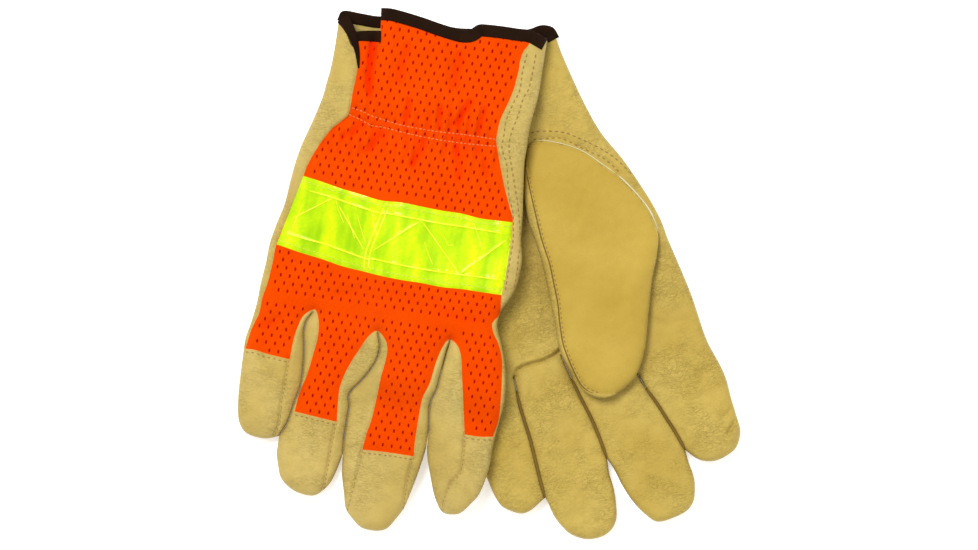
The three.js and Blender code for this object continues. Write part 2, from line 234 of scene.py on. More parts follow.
R_CUFF_FAR = [(-34, 3), (-43.5, 4.5), (-53, 4.5), (-54.5, -1)]
R_MESH_OUTER = [
    (-43.5, -6.5), (-41.5, -20.5), (-41.5, -28), (-42, -35.5), (-42, -42), (-42.5, -47),
    (-45.5, -50.5), (-50, -55.5), (-54, -62.5), (-57, -69), (-59.5, -76), (-60.5, -81),
    (-63.5, -94.5), (-66.5, -106.5), (-69, -117.5), (-69.5, -127.5), (-70.5, -138), (-72, -146),
    (-72.5, -154), (-75, -162), (-76.5, -171.5)]
R_MESH_LITTLE_END = [(-77, -172.5), (-71.5, -172.5), (-65.5, -173.5), (-54, -174.5)]
R_MESH_WEB1 = [
    (-53.5, -174.5), (-53, -164), (-51.5, -156), (-49.5, -151), (-45, -147.5), (-43, -149.5),
    (-41.5, -154.5), (-41, -162), (-42, -170), (-43.5, -180.5), (-46, -191), (-47, -200.5)]
R_MESH_RING_END = [(-47, -200.5), (-36, -201.5), (-25, -202.5)]
R_MESH_WEB2 = [
    (-25, -202.5), (-26, -190.5), (-26, -184.5), (-24.5, -177.5), (-22, -170.5), (-19, -164),
    (-15.5, -157), (-11.5, -153.5), (-7, -157), (-5, -161.5), (-5, -168), (-6, -176), (-6.5, -185),
    (-7.5, -198), (-9, -206), (-10, -214.5)]
R_MESH_MIDDLE_END = [(-10, -214.5), (3.5, -214), (16.5, -214)]
R_MESH_WEB3 = [
    (16.5, -214), (16, -207.5), (16, -194.5), (16.5, -184), (19, -176), (20.5, -165.5),
    (22.5, -157.5), (25, -152.5), (28, -153), (31, -156), (33, -161), (35, -171), (37, -181),
    (40.5, -199)]
R_MESH_INDEX_END = [(40.5, -199), (48, -199), (55, -198)]
R_MESH_INDEX_SIDE = [
    (55, -198), (56.5, -188.5), (56, -178), (55, -168), (53.5, -158), (50.5, -150.5), (47.5, -146),
    (46, -141), (49, -135.5), (48.5, -126), (49, -117.5), (49, -102), (48.5, -87.5), (46, -81.5),
    (42, -72), (38.5, -62.5), (35.5, -53.5), (34, -48.5), (34, -43.5), (34.5, -38), (36, -32.5),
    (37.5, -27.5), (39, -21), (39.5, -16.5), (40, -11.5), (40, -6.5), (41, -1.5), (43, 2),
    (44, 6.5)]
R_TAPE_TOP = [
    (-60.5, -81), (-51, -82.5), (-40.5, -84.5), (-30, -86), (-19.5, -87.5), (-9, -87),
    (1.5, -87.5), (12, -88), (22, -88), (32.5, -89), (48.5, -88.5)]
R_TAPE_LOW = [
    (48.5, -126), (38, -126), (28, -126), (17.5, -126.5), (7, -126), (-3, -126), (-13.5, -125.5),
    (-24, -124.5), (-34.5, -123.5), (-45, -121.5), (-55.5, -120), (-69, -117.5)]
R_TAPE_RIGHT = [(48.5, -88.5), (49, -102), (49, -117.5), (48.5, -126)]
R_TAPE_CREASE = [(-17, -88.5), (-20, -101), (-23, -114), (-23, -124)]
R_TAPE_BORDER_TOP = [
    (-60.5, -87.5), (-45, -89.5), (-29, -92.5), (-18.5, -94), (-15.5, -93.5), (-3, -94),
    (12.5, -94.5), (28.5, -94.5), (47.5, -95)]
R_TAPE_BORDER_LOW = [
    (-66, -111.5), (-46, -113.5), (-35.5, -115.5), (-22.5, -118), (-19, -117.5), (-4, -118.5),
    (16.5, -119), (37, -118.5), (49, -118.5)]
R_TAPE_DIAG0 = [(-64.5, -104.5), (-43.5, -89.5)]
R_TAPE_DIAG1 = [(-41, -92.5), (-24, -114)]
R_TAPE_DIAG2 = [(-20.5, -114), (2.5, -94.5)]
R_TAPE_DIAG3 = [(2.5, -94.5), (25.5, -118.5)]
R_TAPE_DIAG4 = [(26.5, -118), (47.5, -97)]
R_ELASTIC_TOP = [
    (-41.5, -43), (-36, -44), (-31, -45.5), (-25.5, -46.5), (-15, -48), (-4.5, -48.5), (6, -48.5),
    (16, -48), (26.5, -48), (34, -48)]
R_ELASTIC_LOW = [
    (-42.5, -46.5), (-35.5, -48.5), (-30, -50.5), (-25, -50.5), (-14.5, -51.5), (1, -52.5),
    (16.5, -52.5), (27, -52), (34.5, -51.5)]
R_STRIP_ROW1 = [
    (43, -2), (42, -11.5), (42, -21.5), (39.5, -29.5), (37.5, -38), (37.5, -44.5), (37.5, -52),
    (41, -59.5), (43, -68.5), (45, -76.5), (48, -84), (50, -96.5), (50, -107), (50, -117),
    (50, -124)]
R_STRIP_ROW2 = [
    (47.5, -1.5), (47, -13.5), (46.5, -20), (44.5, -25), (43, -35), (41, -44), (41, -51.5),
    (44, -61.5), (46.5, -69), (50.5, -82), (54, -98.5), (54, -105.5), (54.5, -115), (54, -122)]
R_CAP_SEAM_LITTLE = [(-54, -174.5), (-54, -187), (-54.5, -195), (-54, -208), (-55.5, -214)]
R_CAP_SEAM_RING = [(-25, -202.5), (-25.5, -206), (-26, -214), (-26, -224), (-26.5, -238)]
R_CAP_SEAM_MIDDLE_L = [(-10, -214.5), (-11, -227), (-12, -236.5), (-13, -247)]
R_CAP_SEAM_MIDDLE_R = [(16.5, -214), (15.5, -218.5), (15, -225.5), (15, -242)]
R_CAP_SEAM_INDEX = [
    (40.5, -199), (41.5, -211.5), (41, -219), (37.5, -224), (35.5, -230.5), (34.5, -235.5),
    (35.5, -240)]

# The left glove's outline and seams, in its layout, in mm.
L_RIGHT_SIDE = [
    (48.5, 8.5), (48.5, -1.5), (49.5, -17), (51, -32), (53.5, -46), (59, -61.5), (62.5, -74.5),
    (65.5, -88), (67, -99), (67, -108.5), (68, -126.5), (68.5, -139.5), (68, -156.5), (68, -164),
    (69, -171.5), (70, -177.5), (70.5, -186), (69.5, -196.5), (69, -206), (68.5, -212.5),
    (66.5, -217), (63, -221), (57.5, -223), (51.5, -223.5), (46.5, -222), (42.5, -219),
    (38.5, -213)]
L_CREASE_IM = [(29, -168.5), (30.5, -176.5), (33, -185.5), (35, -194.5), (37, -203.5), (38.5, -213)]
L_MIDDLE_TIP = [
    (38.5, -213), (38, -220), (38, -227), (36.5, -233), (33.5, -239), (28.5, -242.5), (20, -243.5),
    (12.5, -242.5), (8.5, -237.5), (5.5, -231.5), (3.5, -225.5), (2, -218), (1, -209.5),
    (-0.5, -203.5)]
L_CREASE_MR = [
    (-4.5, -146), (-3.5, -159), (-2.5, -170), (-1, -181.5), (-0.5, -191.5), (-0.5, -203.5)]
L_RING_TIP = [
    (-0.5, -203.5), (-2, -211), (-2.5, -219), (-4, -226.5), (-6.5, -234), (-11, -238.5),
    (-17, -240), (-24.5, -238.5), (-31, -233.5), (-34, -228), (-36, -221.5), (-36.5, -214.5),
    (-37, -211.5)]
L_CREASE_RL = [
    (-31, -148), (-32, -155), (-33, -162), (-33.5, -169.5), (-34, -180.5), (-35.5, -195),
    (-36.5, -204), (-37, -211.5)]
L_LITTLE_TIP = [
    (-37, -211.5), (-39.5, -212.5), (-46, -215), (-51, -215), (-55.5, -212), (-59.5, -207.5),
    (-61, -200.5), (-61.5, -192)]
L_LITTLE_SIDE = [(-61.5, -192), (-63.5, -175), (-64.5, -147.5), (-64, -127)]
L_OUTER_SIDE = [
    (-64, -127), (-63, -99), (-62.5, -67), (-61, -40.5), (-58.5, -14), (-55.5, 5.5), (-51, 21)]
L_CUFF_TOP = [
    (-51, 21), (-41, 22), (-19.5, 20.5), (1.5, 19.5), (22.5, 17.5), (38, 15.5), (43.5, 15),
    (47.5, 13), (48.5, 8.5)]
L_THUMB = [
    (17.5, -39), (23.5, -40), (32.5, -45), (41, -52), (48, -61.5), (55, -72), (61, -86),
    (63, -94.5), (63, -105), (58, -116), (52.5, -125), (48, -134), (42.5, -145.5), (38, -155),
    (34, -161.5), (30, -166.5), (25, -170.5), (18.5, -173), (13, -173), (8, -171.5), (3, -167.5),
    (0.5, -163), (-0.5, -156), (-1, -149), (-1, -141), (1, -130.5), (3.5, -120.5), (5, -110.5),
    (6.5, -100), (7, -86.5), (8.5, -73.5), (10.5, -58), (13, -45.5)]
L_THUMB_WELT_OUT = [
    (15, -41), (6.5, -59.5), (4.5, -67), (3, -77), (3, -85.5), (2.5, -97), (1, -109), (-0.5, -119),
    (-2, -129.5), (-4, -139.5), (-4, -148), (-2, -158), (-0.5, -165.5), (3, -170.5), (7.5, -173.5)]
L_ROW_IN = [
    (19, -37.5), (26.5, -39.5), (33.5, -42), (41.5, -50), (49.5, -58), (52, -61.5), (55.5, -68.5)]
L_ROW_OUT = [(19, -34), (25, -35), (35.5, -39.5), (44, -47), (52, -55.5), (57, -63), (61, -71.5)]
L_TUCK = [
    (-31, -148), (-29, -145.5), (-25.5, -144.5), (-20, -144.5), (-15, -145), (-9, -144.5),
    (-3.5, -143)]


# ---------------------------------------------------------------- sheets
def slot(crease, first):
    """The outline's way in and out along a line where two fingers touch, from the tip round the web."""
    line = curve(crease, 1.3)
    gap = 0.06 * np.minimum(1, np.arange(len(line)) / 3)
    t = np.gradient(line, axis=0)
    t /= np.linalg.norm(t, axis=1)[:, None]
    side = np.column_stack([-t[:, 1], t[:, 0]]) * gap[:, None]
    return np.vstack([(line + first * side)[::-1], (line - first * side)[1:]])


def joined(*parts):
    """One outline from parts that follow on, without repeated points."""
    p = np.vstack(parts)
    keep = np.r_[True, np.linalg.norm(np.diff(p, axis=0), axis=1) > 0.2]
    p = p[keep]
    return p[:-1] if np.linalg.norm(p[0] - p[-1]) < 0.3 else p


def holes_in(poly, avoid, solid=(), margin=1.9):
    """Centres of the knit's staggered holes inside a polygon, clear of its edge and other lines."""
    i, j = np.meshgrid(np.arange(-40, 40), np.arange(-140, 30))
    i, j = i.ravel(), j.ravel()
    c = np.column_stack([HOLE_X * (i + 0.5 * (j % 2)), HOLE_Y * j])
    c = c[inside(c, poly)]
    c = c[nearest(c, poly, True)[0] > margin]
    for line in avoid:
        c = c[nearest(c, line)[0] > margin]
    for other in solid:
        c = c[~inside(c, other)]
    return c


def hole_rings(centres):
    a = np.arange(8) * math.tau / 8 + math.tau / 16
    shape = np.column_stack([HOLE_WIDE / 2 * np.cos(a), HOLE_LONG / 2 * np.sin(a)])
    return [c + shape for c in centres]


class Sheet:
    """One face of a glove: a triangulated layout region, with a height for every point."""

    def __init__(self, outline, lines, spacing, knit=(), avoid=(), solid=()):
        self.outline = outline
        fixed, edges = [], []

        def chain(p, closed):
            first = len(fixed)
            fixed.extend(map(tuple, p))
            edges.extend((first + k, first + k + 1) for k in range(len(p) - 1))
            if closed:
                edges.append((first + len(p) - 1, first))

        chain(outline, True)
        for line in lines:
            chain(line, False)
        lo, hi = outline.min(0), outline.max(0)
        step = np.array([spacing, spacing * 0.866])
        i, j = np.meshgrid(np.arange(int((hi - lo)[0] / step[0]) + 2),
                           np.arange(int((hi - lo)[1] / step[1]) + 2))
        free = lo + step * np.column_stack([(i + 0.5 * (j % 2)).ravel(), j.ravel()])
        rings = [shifted(np.vstack([outline, outline[:1]]), s * w)
                 for s in (-1, 1) for w in (0.45, 1.1, 2.1, 3.3)]
        rings += [shifted(line, s * w) for line in lines for s in (-1, 1) for w in (0.6, 1.3)]
        border = [np.vstack([outline, outline[:1]])] + list(lines)
        centres = np.vstack([holes_in(p, avoid, solid) for p in knit]) if len(knit) else np.zeros((0, 2))
        tight = np.vstack(rings)
        tight = tight[inside(tight, outline)]
        free = free[inside(free, outline)]
        for line in border:
            if len(tight):
                tight = tight[nearest(tight, line)[0] > 0.38]
            free = free[nearest(free, line)[0] > 0.8]
        both = np.vstack([tight, free])
        cell = np.unique(np.round(both / 0.42).astype(int), axis=0, return_index=True)[1]
        both = both[np.sort(cell)]
        if len(centres):
            q = (both - nearest_centre(both, centres)) / [HOLE_WIDE / 2 + 0.45, HOLE_LONG / 2 + 0.45]
            both = both[(q**2).sum(1) > 1]
        for ring in hole_rings(centres):
            chain(ring, True)
        points = [Vector(p) for p in fixed] + [Vector(p) for p in both]
        out = delaunay_2d_cdt(points, edges, [], 0, 1e-4, False)
        self.P = np.array([v[:] for v in out[0]])
        tris = np.array(out[2])
        mid = self.P[tris].mean(1)
        keep = inside(mid, outline)
        hole = np.zeros(len(mid), bool)
        if len(centres):
            q = (mid - nearest_centre(mid, centres)) / [HOLE_WIDE / 2, HOLE_LONG / 2]
            hole = (q**2).sum(1) < 0.93
        a, b, c = (self.P[tris[:, k]] for k in range(3))
        area = (b - a)[:, 0] * (c - a)[:, 1] - (b - a)[:, 1] * (c - a)[:, 0]
        tris[area < 0] = tris[area < 0][:, ::-1]
        keep &= np.abs(area) > 1e-5
        self.tris, self.mid, self.hole = tris[keep], mid[keep], hole[keep]


def nearest_centre(P, centres):
    """The knit hole centre nearest to each point, from the regular lattice, or a far point."""
    known = {(round(x * 100), round(y * 100)) for x, y in centres}
    best = np.full((len(P), 2), 1e4)
    gap = np.full(len(P), 1e9)
    base = np.round(P[:, 1] / HOLE_Y).astype(int)
    for dj in (-1, 0, 1):
        j = base + dj
        shift = 0.5 * (j % 2)
        i = np.round(P[:, 0] / HOLE_X - shift)
        c = np.column_stack([HOLE_X * (i + shift), HOLE_Y * j])
        ok = np.array([(round(x * 100), round(y * 100)) in known for x, y in c])
        d = np.where(ok, ((P - c)**2).sum(1), 1e9)
        better = d < gap
        gap[better], best[better] = d[better], c[better]
    return best


def welded_normals(*faces):
    """Smooth vertex normals of several triangle sets that meet, as one list for each set."""
    V = np.vstack([v for v, _ in faces])
    _, same = np.unique(np.round(V / 2e-6).astype(np.int64), axis=0, return_inverse=True)
    same = same.ravel()
    total = np.zeros((same.max() + 1, 3))
    first = 0
    for v, t in faces:
        a, b, c = v[t[:, 0]], v[t[:, 1]], v[t[:, 2]]
        n = np.cross(b - a, c - a)
        for k in range(3):
            u, w = v[t[:, (k + 1) % 3]] - v[t[:, k]], v[t[:, (k + 2) % 3]] - v[t[:, k]]
            size = np.linalg.norm(u, axis=1) * np.linalg.norm(w, axis=1) + 1e-20
            angle = np.arccos(np.clip((u * w).sum(1) / size, -1, 1))
            unit = n / (np.linalg.norm(n, axis=1) + 1e-20)[:, None]
            np.add.at(total, same[first + t[:, k]], unit * angle[:, None])
        first += len(v)
    total /= (np.linalg.norm(total, axis=1) + 1e-20)[:, None]
    out, first = [], 0
    for v, _ in faces:
        out.append(total[same[first:first + len(v)]])
        first += len(v)
    return out


def mesh_object(name, V, faces, uv, material, N=None):
    mesh = bpy.data.meshes.new(name)
    mesh.from_pydata([tuple(v) for v in V], [], [tuple(int(i) for i in f) for f in faces])
    mesh.polygons.foreach_set("use_smooth", [True] * len(mesh.polygons))
    loops = np.zeros(len(mesh.loops), np.int32)
    mesh.loops.foreach_get("vertex_index", loops)
    layer = mesh.uv_layers.new(name="Layout")
    layer.data.foreach_set("uv", np.asarray(uv)[loops].astype(np.float32).ravel())
    for m in material if isinstance(material, (list, tuple)) else [material]:
        mesh.materials.append(m)
    if N is not None:
        mesh.normals_split_custom_set_from_vertices([tuple(n) for n in N])
    mesh.update()
    piece = bpy.data.objects.new(name, mesh)
    bpy.context.scene.collection.objects.link(piece)
    return piece


def shell(name, parts, thickness, material, floors=()):
    """A piece of material of real thickness. parts are (points, triangles, normals, layout points).

    floors are the knit's backing, seen through its holes: it lies at the piece's inner face, coloured a darker red
    that stands for the shade inside the holes (painted shade)."""
    V, T, N, U = [], [], [], []
    count = 0
    for v, t, n, u in parts:
        used, t = np.unique(t, return_inverse=True)
        t = t.reshape(-1, 3)
        V.append(v[used])
        N.append(n[used])
        U.append(u[used] / 100)
        T.append(t + count)
        count += len(used)
    V, T, N, U = map(np.vstack, (V, T, N, U))
    inner = V - N * thickness * MM
    edge = {}
    for a, b, c in T:
        for e in ((a, b), (b, c), (c, a)):
            edge[e] = edge.get(e, 0) + 1
    rim = [e for e in edge if (e[1], e[0]) not in edge]
    n = len(V)
    side_v, side_n, side_f = [], [], []
    for a, b in rim:
        along = V[b] - V[a]
        out = np.cross(along, N[a] + N[b])
        out /= np.linalg.norm(out) + 1e-12
        k = 2 * n + len(side_v)
        side_v += [V[a], V[b], inner[b], inner[a]]
        side_n += [out] * 4
        side_f.append((k + 3, k + 2, k + 1, k))
    faces = [tuple(t) for t in T] + [(c + n, b + n, a + n) for a, b, c in T] + side_f
    side_u = [U[i] for a, b in rim for i in (a, b, b, a)]
    allv = np.vstack([V, inner] + ([side_v] if side_v else []))
    alln = np.vstack([N, -N] + ([side_n] if side_n else []))
    allu = np.vstack([U, U] + ([side_u] if side_u else []))
    front = len(faces)
    for v, t, n, u in floors:
        used, t = np.unique(t, return_inverse=True)
        faces += [tuple(f) for f in t.reshape(-1, 3) + len(allv)]
        allv = np.vstack([allv, v[used] - n[used] * thickness * 0.75 * MM])
        alln, allu = np.vstack([alln, n[used]]), np.vstack([allu, u[used] / 100])
    piece = mesh_object(name, allv, faces, allu, [material, SHADED_BACKING] if floors else material, alln)
    piece.data.polygons.foreach_set("material_index", [0] * front + [1] * (len(faces) - front))
    return piece


# ---------------------------------------------------------------- materials
class Nodes:
    """A material's node tree, with short calls to add and join its nodes."""

    def __init__(self, name):
        self.material = bpy.data.materials.new(name)
        self.material.use_nodes = True
        self.tree = self.material.node_tree
        self.shader = self.tree.nodes["Principled BSDF"]
        self.uv = self.add("ShaderNodeUVMap", uv_map="Layout").outputs[0]

    def add(self, kind, inputs=None, **settings):
        node = self.tree.nodes.new(kind)
        for k, v in settings.items():
            setattr(node, k, v)
        for k, v in (inputs or {}).items():
            if isinstance(v, bpy.types.NodeSocket):
                self.tree.links.new(v, node.inputs[k])
            else:
                node.inputs[k].default_value = v
        return node

    def put(self, **sockets):
        for k, v in sockets.items():
            socket = self.shader.inputs[k.replace("_", " ")]
            if isinstance(v, bpy.types.NodeSocket):
                self.tree.links.new(v, socket)
            else:
                socket.default_value = v

    def noise(self, scale, detail=4.0, roughness=0.55, vector=None):
        return self.add("ShaderNodeTexNoise", {"Vector": vector or self.uv, "Scale": scale,
                        "Detail": detail, "Roughness": roughness}).outputs["Fac"]

    def cells(self, scale, feature="SMOOTH_F1", vector=None):
        return self.add("ShaderNodeTexVoronoi", {"Vector": vector or self.uv, "Scale": scale},
                        feature=feature).outputs["Distance"]

    def waves(self, scale, direction, distortion=0.0):
        return self.add("ShaderNodeTexWave", {"Vector": self.uv, "Scale": scale,
                        "Distortion": distortion}, bands_direction=direction).outputs["Fac"]

    def math(self, operation, a, b):
        return self.add("ShaderNodeMath", {0: a, 1: b}, operation=operation).outputs[0]

    def ramp(self, value, *stops):
        node = self.add("ShaderNodeValToRGB", {"Fac": value})
        elements = node.color_ramp.elements
        while len(elements) < len(stops):
            elements.new(0.5)
        for e, (at, colour) in zip(elements, stops):
            e.position = at
            e.color = (*colour, 1)
        return node.outputs["Color"]

    def mix(self, share, a, b, blend="MIX"):
        node = self.add("ShaderNodeMix", data_type="RGBA", blend_type=blend)
        for k, v in (("Factor", share), ("A", a), ("B", b)):
            kind = "VALUE" if k == "Factor" else "RGBA"
            socket = [s for s in node.inputs if s.name == k and s.type == kind][0]
            if isinstance(v, bpy.types.NodeSocket):
                self.tree.links.new(v, socket)
            else:
                socket.default_value = v if k == "Factor" else (*v, 1)
        return [s for s in node.outputs if s.type == "RGBA"][0]

    def bump(self, height, distance, strength=1.0, below=None):
        inputs = {"Height": height, "Distance": distance * MM, "Strength": strength}
        if below is not None:
            inputs["Normal"] = below
        return self.add("ShaderNodeBump", inputs).outputs["Normal"]


def rgb(r, g, b):
    """Linear colour from the usual 0 to 255 numbers."""
    return tuple((c / 12.92 if c <= 0.04045 else ((c + 0.055) / 1.055)**2.4)
                 for c in (r / 255, g / 255, b / 255))


def leather(name, light, dark, grain=95, depth=0.16, wrinkled=1.0, spots=()):
    """Grain leather: broad colour changes, wrinkle lines that follow the skin, and pores.

    The lines come and go, and spots of (x, y, radius) on the layout are always wrinkled."""
    n = Nodes(name)
    warp = n.add("ShaderNodeTexNoise", {"Vector": n.uv, "Scale": 9.0, "Detail": 3.0}).outputs["Color"]
    bent = n.add("ShaderNodeVectorMath", {0: n.uv, 1: n.add("ShaderNodeVectorMath", {0: warp, "Scale": 0.07},
                 operation="SCALE").outputs[0]}, operation="ADD").outputs[0]
    along = n.add("ShaderNodeMapping",
                  {"Vector": bent, "Rotation": (0, 0, 0.5), "Scale": (0.5, 1.4, 1)}).outputs[0]
    broad = n.noise(2.4, 3)
    mottled = n.noise(20, 5, 0.65)
    line = 0
    for scale, share in ((42, 0.8), (90, 0.6)):
        zero = n.math("ABSOLUTE", n.math("SUBTRACT", n.noise(scale, 2, 0.5, along), 0.5), 0)
        thin = n.ramp(zero, (0.0, (1,) * 3), (0.05, (0, 0, 0)))
        line = n.math("ADD", n.math("MULTIPLY", thin, share), line)
    pores = n.cells(grain)
    where = n.ramp(n.noise(5, 2), (0.38, (0.15,) * 3), (0.62, (1,) * 3))
    for x, y, radius in spots:
        near = n.add("ShaderNodeVectorMath", {0: n.uv, 1: (x * UV, y * UV, 0)},
                     operation="DISTANCE").outputs["Value"]
        spot = n.ramp(near, (radius * UV * 0.5, (1,) * 3), (radius * UV, (0, 0, 0)))
        where = n.math("MAXIMUM", where, spot)
    line = n.math("MULTIPLY", n.math("MULTIPLY", line, where), wrinkled)
    colour = n.ramp(broad, (0.32, dark), (0.66, light))
    patches = n.ramp(mottled, (0.35, (0, 0, 0)), (0.72, (0.3,) * 3))
    colour = n.mix(patches, colour, tuple(c * 0.84 for c in dark))
    # Wrinkle lines are darkened as well as sunk: painted shade in their creases, over the leather's grain.
    colour = n.mix(n.math("MULTIPLY", line, 0.3), colour, tuple(c * 0.55 for c in dark))
    colour = n.mix(n.ramp(pores, (0.0, (0.3,) * 3), (0.25, (0, 0, 0))), colour, tuple(c * 0.6 for c in dark))
    height = n.math("ADD", n.math("MULTIPLY", pores, 0.8), n.math("MULTIPLY", mottled, 1.2))
    height = n.math("SUBTRACT", height, n.math("MULTIPLY", line, 0.8))
    fine = n.bump(n.noise(330, 3, 0.7), depth * 0.35, 0.8)
    n.put(Base_Color=colour, Roughness=n.ramp(mottled, (0.2, (0.62,) * 3), (0.8, (0.46,) * 3)),
          Normal=n.bump(height, depth, 1.0, fine), Specular_IOR_Level=0.25,
          Specular_Tint=(1, 0.75, 0.3, 1), Sheen_Weight=0.05, Sheen_Tint=(1, 0.85, 0.5, 1))
    return n.material


def knit(name, colour, deep):
    n = Nodes(name)
    rib = n.waves(52, "Y")
    loop = n.waves(78, "X")
    weave = n.math("MULTIPLY", rib, loop)
    fuzz = n.noise(240, 4, 0.7)
    shade = n.mix(n.ramp(weave, (0.0, (0.8,) * 3), (0.45, (0, 0, 0))), colour, deep)
    shade = n.mix(n.ramp(n.noise(5, 3), (0.4, (0, 0, 0)), (0.9, (0.35,) * 3)), shade, deep)
    # Deeper red where the fold attribute is high: painted shade in the knit's folds and gathers.
    fold = n.add("ShaderNodeAttribute", attribute_name="Fold").outputs["Fac"]
    shade = n.mix(fold, shade, rgb(238, 28, 0))
    height = n.math("ADD", weave, n.math("MULTIPLY", fuzz, 0.5))
    n.put(Base_Color=shade, Roughness=0.78, Normal=n.bump(height, 0.22), Sheen_Weight=0.05,
          Sheen_Tint=(1, 0.4, 0.05, 1), Specular_Tint=(1, 0.35, 0.02, 1), Specular_IOR_Level=0.12)
    return n.material


def glossy_tape(name, deep, colour, pale):
    """Prismatic plastic tape: fine cells under a clear, slightly rippled skin. Its colour follows the ripple, paler
    on the rises and darker in the dips: painted highlight and painted shade over the tape's own lime.
    """
    n = Nodes(name)
    prisms = n.cells(62, "F1")
    tall = n.add("ShaderNodeMapping", {"Vector": n.uv, "Scale": (1.5, 0.4, 1)}).outputs[0]
    ripple = n.noise(8, 2, 0.5, tall)
    shade = n.ramp(ripple, (0.3, deep), (0.5, colour), (0.72, pale))
    shade = n.mix(n.ramp(prisms, (0.25, (0, 0, 0)), (0.8, (0.35,) * 3)), shade, deep)
    skin = n.bump(ripple, 1.1, 0.7)
    n.put(Base_Color=shade, Roughness=0.4, Specular_Tint=(0.9, 1, 0.1, 1),
          Coat_Weight=0.16, Coat_Roughness=0.1,
          Normal=n.bump(prisms, 0.05, 0.6, skin), Coat_Normal=skin)
    return n.material


def ribbed(name, colour, deep, scale=110, roughness=0.8):
    n = Nodes(name)
    rib = n.waves(scale, "X", 0.6)
    shade = n.mix(n.ramp(rib, (0.1, (0.7,) * 3), (0.6, (0, 0, 0))), colour, deep)
    shade = n.mix(n.ramp(n.noise(9, 4), (0.4, (0, 0, 0)), (0.8, (0.5,) * 3)), shade, deep)
    height = n.math("ADD", rib, n.math("MULTIPLY", n.noise(260, 3), 0.7))
    n.put(Base_Color=shade, Roughness=roughness, Normal=n.bump(height, 0.18), Specular_IOR_Level=0.1)
    return n.material


def thread(name, colour, deep):
    n = Nodes(name)
    twist = n.waves(420, "DIAGONAL")
    shade = n.mix(n.ramp(twist, (0.1, (0.6,) * 3), (0.6, (0, 0, 0))), colour, deep)
    n.put(Base_Color=shade, Roughness=0.6, Normal=n.bump(twist, 0.06), Sheen_Weight=0.2)
    return n.material


GRAIN = leather("grain_leather", rgb(184, 163, 96), rgb(171, 147, 76), depth=0.2)
PALM = leather("palm_leather", rgb(183, 160, 84), rgb(169, 143, 64), depth=0.2,
               spots=[(-45, -165, 22), (-12, -112, 32), (62, -125, 26), (-12, -165, 14), (50, -178, 16)])
THUMB_SKIN = leather("thumb_leather", rgb(176, 149, 66), rgb(165, 137, 54), 120, 0.07, 0.25)
# Dark brown for lines laid in the gaps between the left fingers and beside the thumb's seam: painted shade.
SHADE = leather("seam_leather", rgb(118, 92, 36), rgb(96, 72, 26), 120, 0.08, 0.2)
EDGE = leather("cut_edge_leather", rgb(214, 206, 170), rgb(196, 184, 140), 120, 0.1, 0.3)
ORANGE = knit("orange_mesh", rgb(244, 86, 0), rgb(214, 48, 0))
# The floors of the knit's holes: the orange knit darkened to dark red, painted shade inside the holes.
SHADED_BACKING = knit("mesh_backing", rgb(206, 14, 0), rgb(150, 4, 0))
LIME = glossy_tape("reflective_tape", rgb(136, 186, 0), rgb(178, 211, 0), rgb(214, 228, 0))
# Pale lime for the tape's ridges and streaks: painted highlight on raised ridges, and painted reflections.
RIDGE_HIGHLIGHT = glossy_tape("weld_tape", rgb(214, 222, 16), rgb(228, 234, 44), rgb(242, 244, 96))
BINDING = ribbed("cuff_binding", rgb(44, 24, 8), rgb(22, 10, 2), roughness=0.95)
ELASTIC = ribbed("elastic_band", rgb(222, 218, 204), rgb(180, 174, 158), 70)
TAN_THREAD = thread("tan_thread", rgb(158, 120, 44), rgb(116, 84, 24))
PALE_THREAD = thread("pale_thread", rgb(240, 132, 42), rgb(226, 100, 20))
LIME_THREAD = thread("lime_thread", rgb(236, 232, 70), rgb(190, 190, 30))


# ---------------------------------------------------------------- heights
def marks(P, lines):
    """Soft valleys along short given lines of (depth, width, points); a minus depth is a ridge."""
    z = np.zeros(len(P))
    for depth, width, points in lines:
        line = curve(points, 2.5)
        lo, hi = line.min(0) - 3 * width, line.max(0) + 3 * width
        near = ((P > lo) & (P < hi)).all(1)
        if near.any():
            d, along, _ = nearest(P[near], line)
            ends = smooth(np.minimum(along, 1 - along) * 5)
            z[near] -= depth * ends * np.exp(-(d / width)**2)
    return z


def crown(d, height, reach, square=2.5):
    """A soft rounded edge: 0 at the outline, height from reach mm in. A larger square is steeper."""
    t = 1 - np.clip(d / reach, 0, 1)
    return height * np.maximum(1 - t**square, 0)**(1 / square)


def right_lift(P):
    """How far the right glove is raised by what it lies on."""
    x, y = P[:, 0], P[:, 1]
    over = R.to(L, P)[:, 0]
    thumb = smooth((x + 30) / 24) * smooth((-14 - y) / 24) * smooth((y + 194) / 20)
    return LEFT_STACK * smooth((over + 114) / 46) + THUMB_STACK * thumb


R_SLOTS = [slot(R_CREASE1, -1), slot(R_CREASE2, -1), slot(R_CREASE3, -1)]
R_SIDES = joined(curve(R_OUTER_SIDE), R_SLOTS[0], curve(R_RING_TIP), R_SLOTS[1], curve(R_MIDDLE_TIP),
                 R_SLOTS[2], curve(R_INDEX_TIP), curve(R_INDEX_SIDE))
R_NEAR_CUFF = np.vstack([curve(R_CUFF), curve([(-33.8, 8.8), (-32.6, -2.9)]),
                         curve([(-32.6, -2.9), (-44.2, -4.6)]), curve([(-44.2, -4.6), (-43.6, -13)]),
                         curve([(-43.6, -13), (-46.5, -11.5), (-49.5, -6.5), (-54.5, -1)])])
R_FAR_CUFF = np.vstack([curve([(52, 6), (30, 8), (5, 4.5), (-20, 8), (-34, 4.5)]), curve(R_CUFF_FAR)])
R_TOP_OUTLINE = joined(R_SIDES, R_NEAR_CUFF)
R_LOW_OUTLINE = joined(R_SIDES, R_FAR_CUFF)
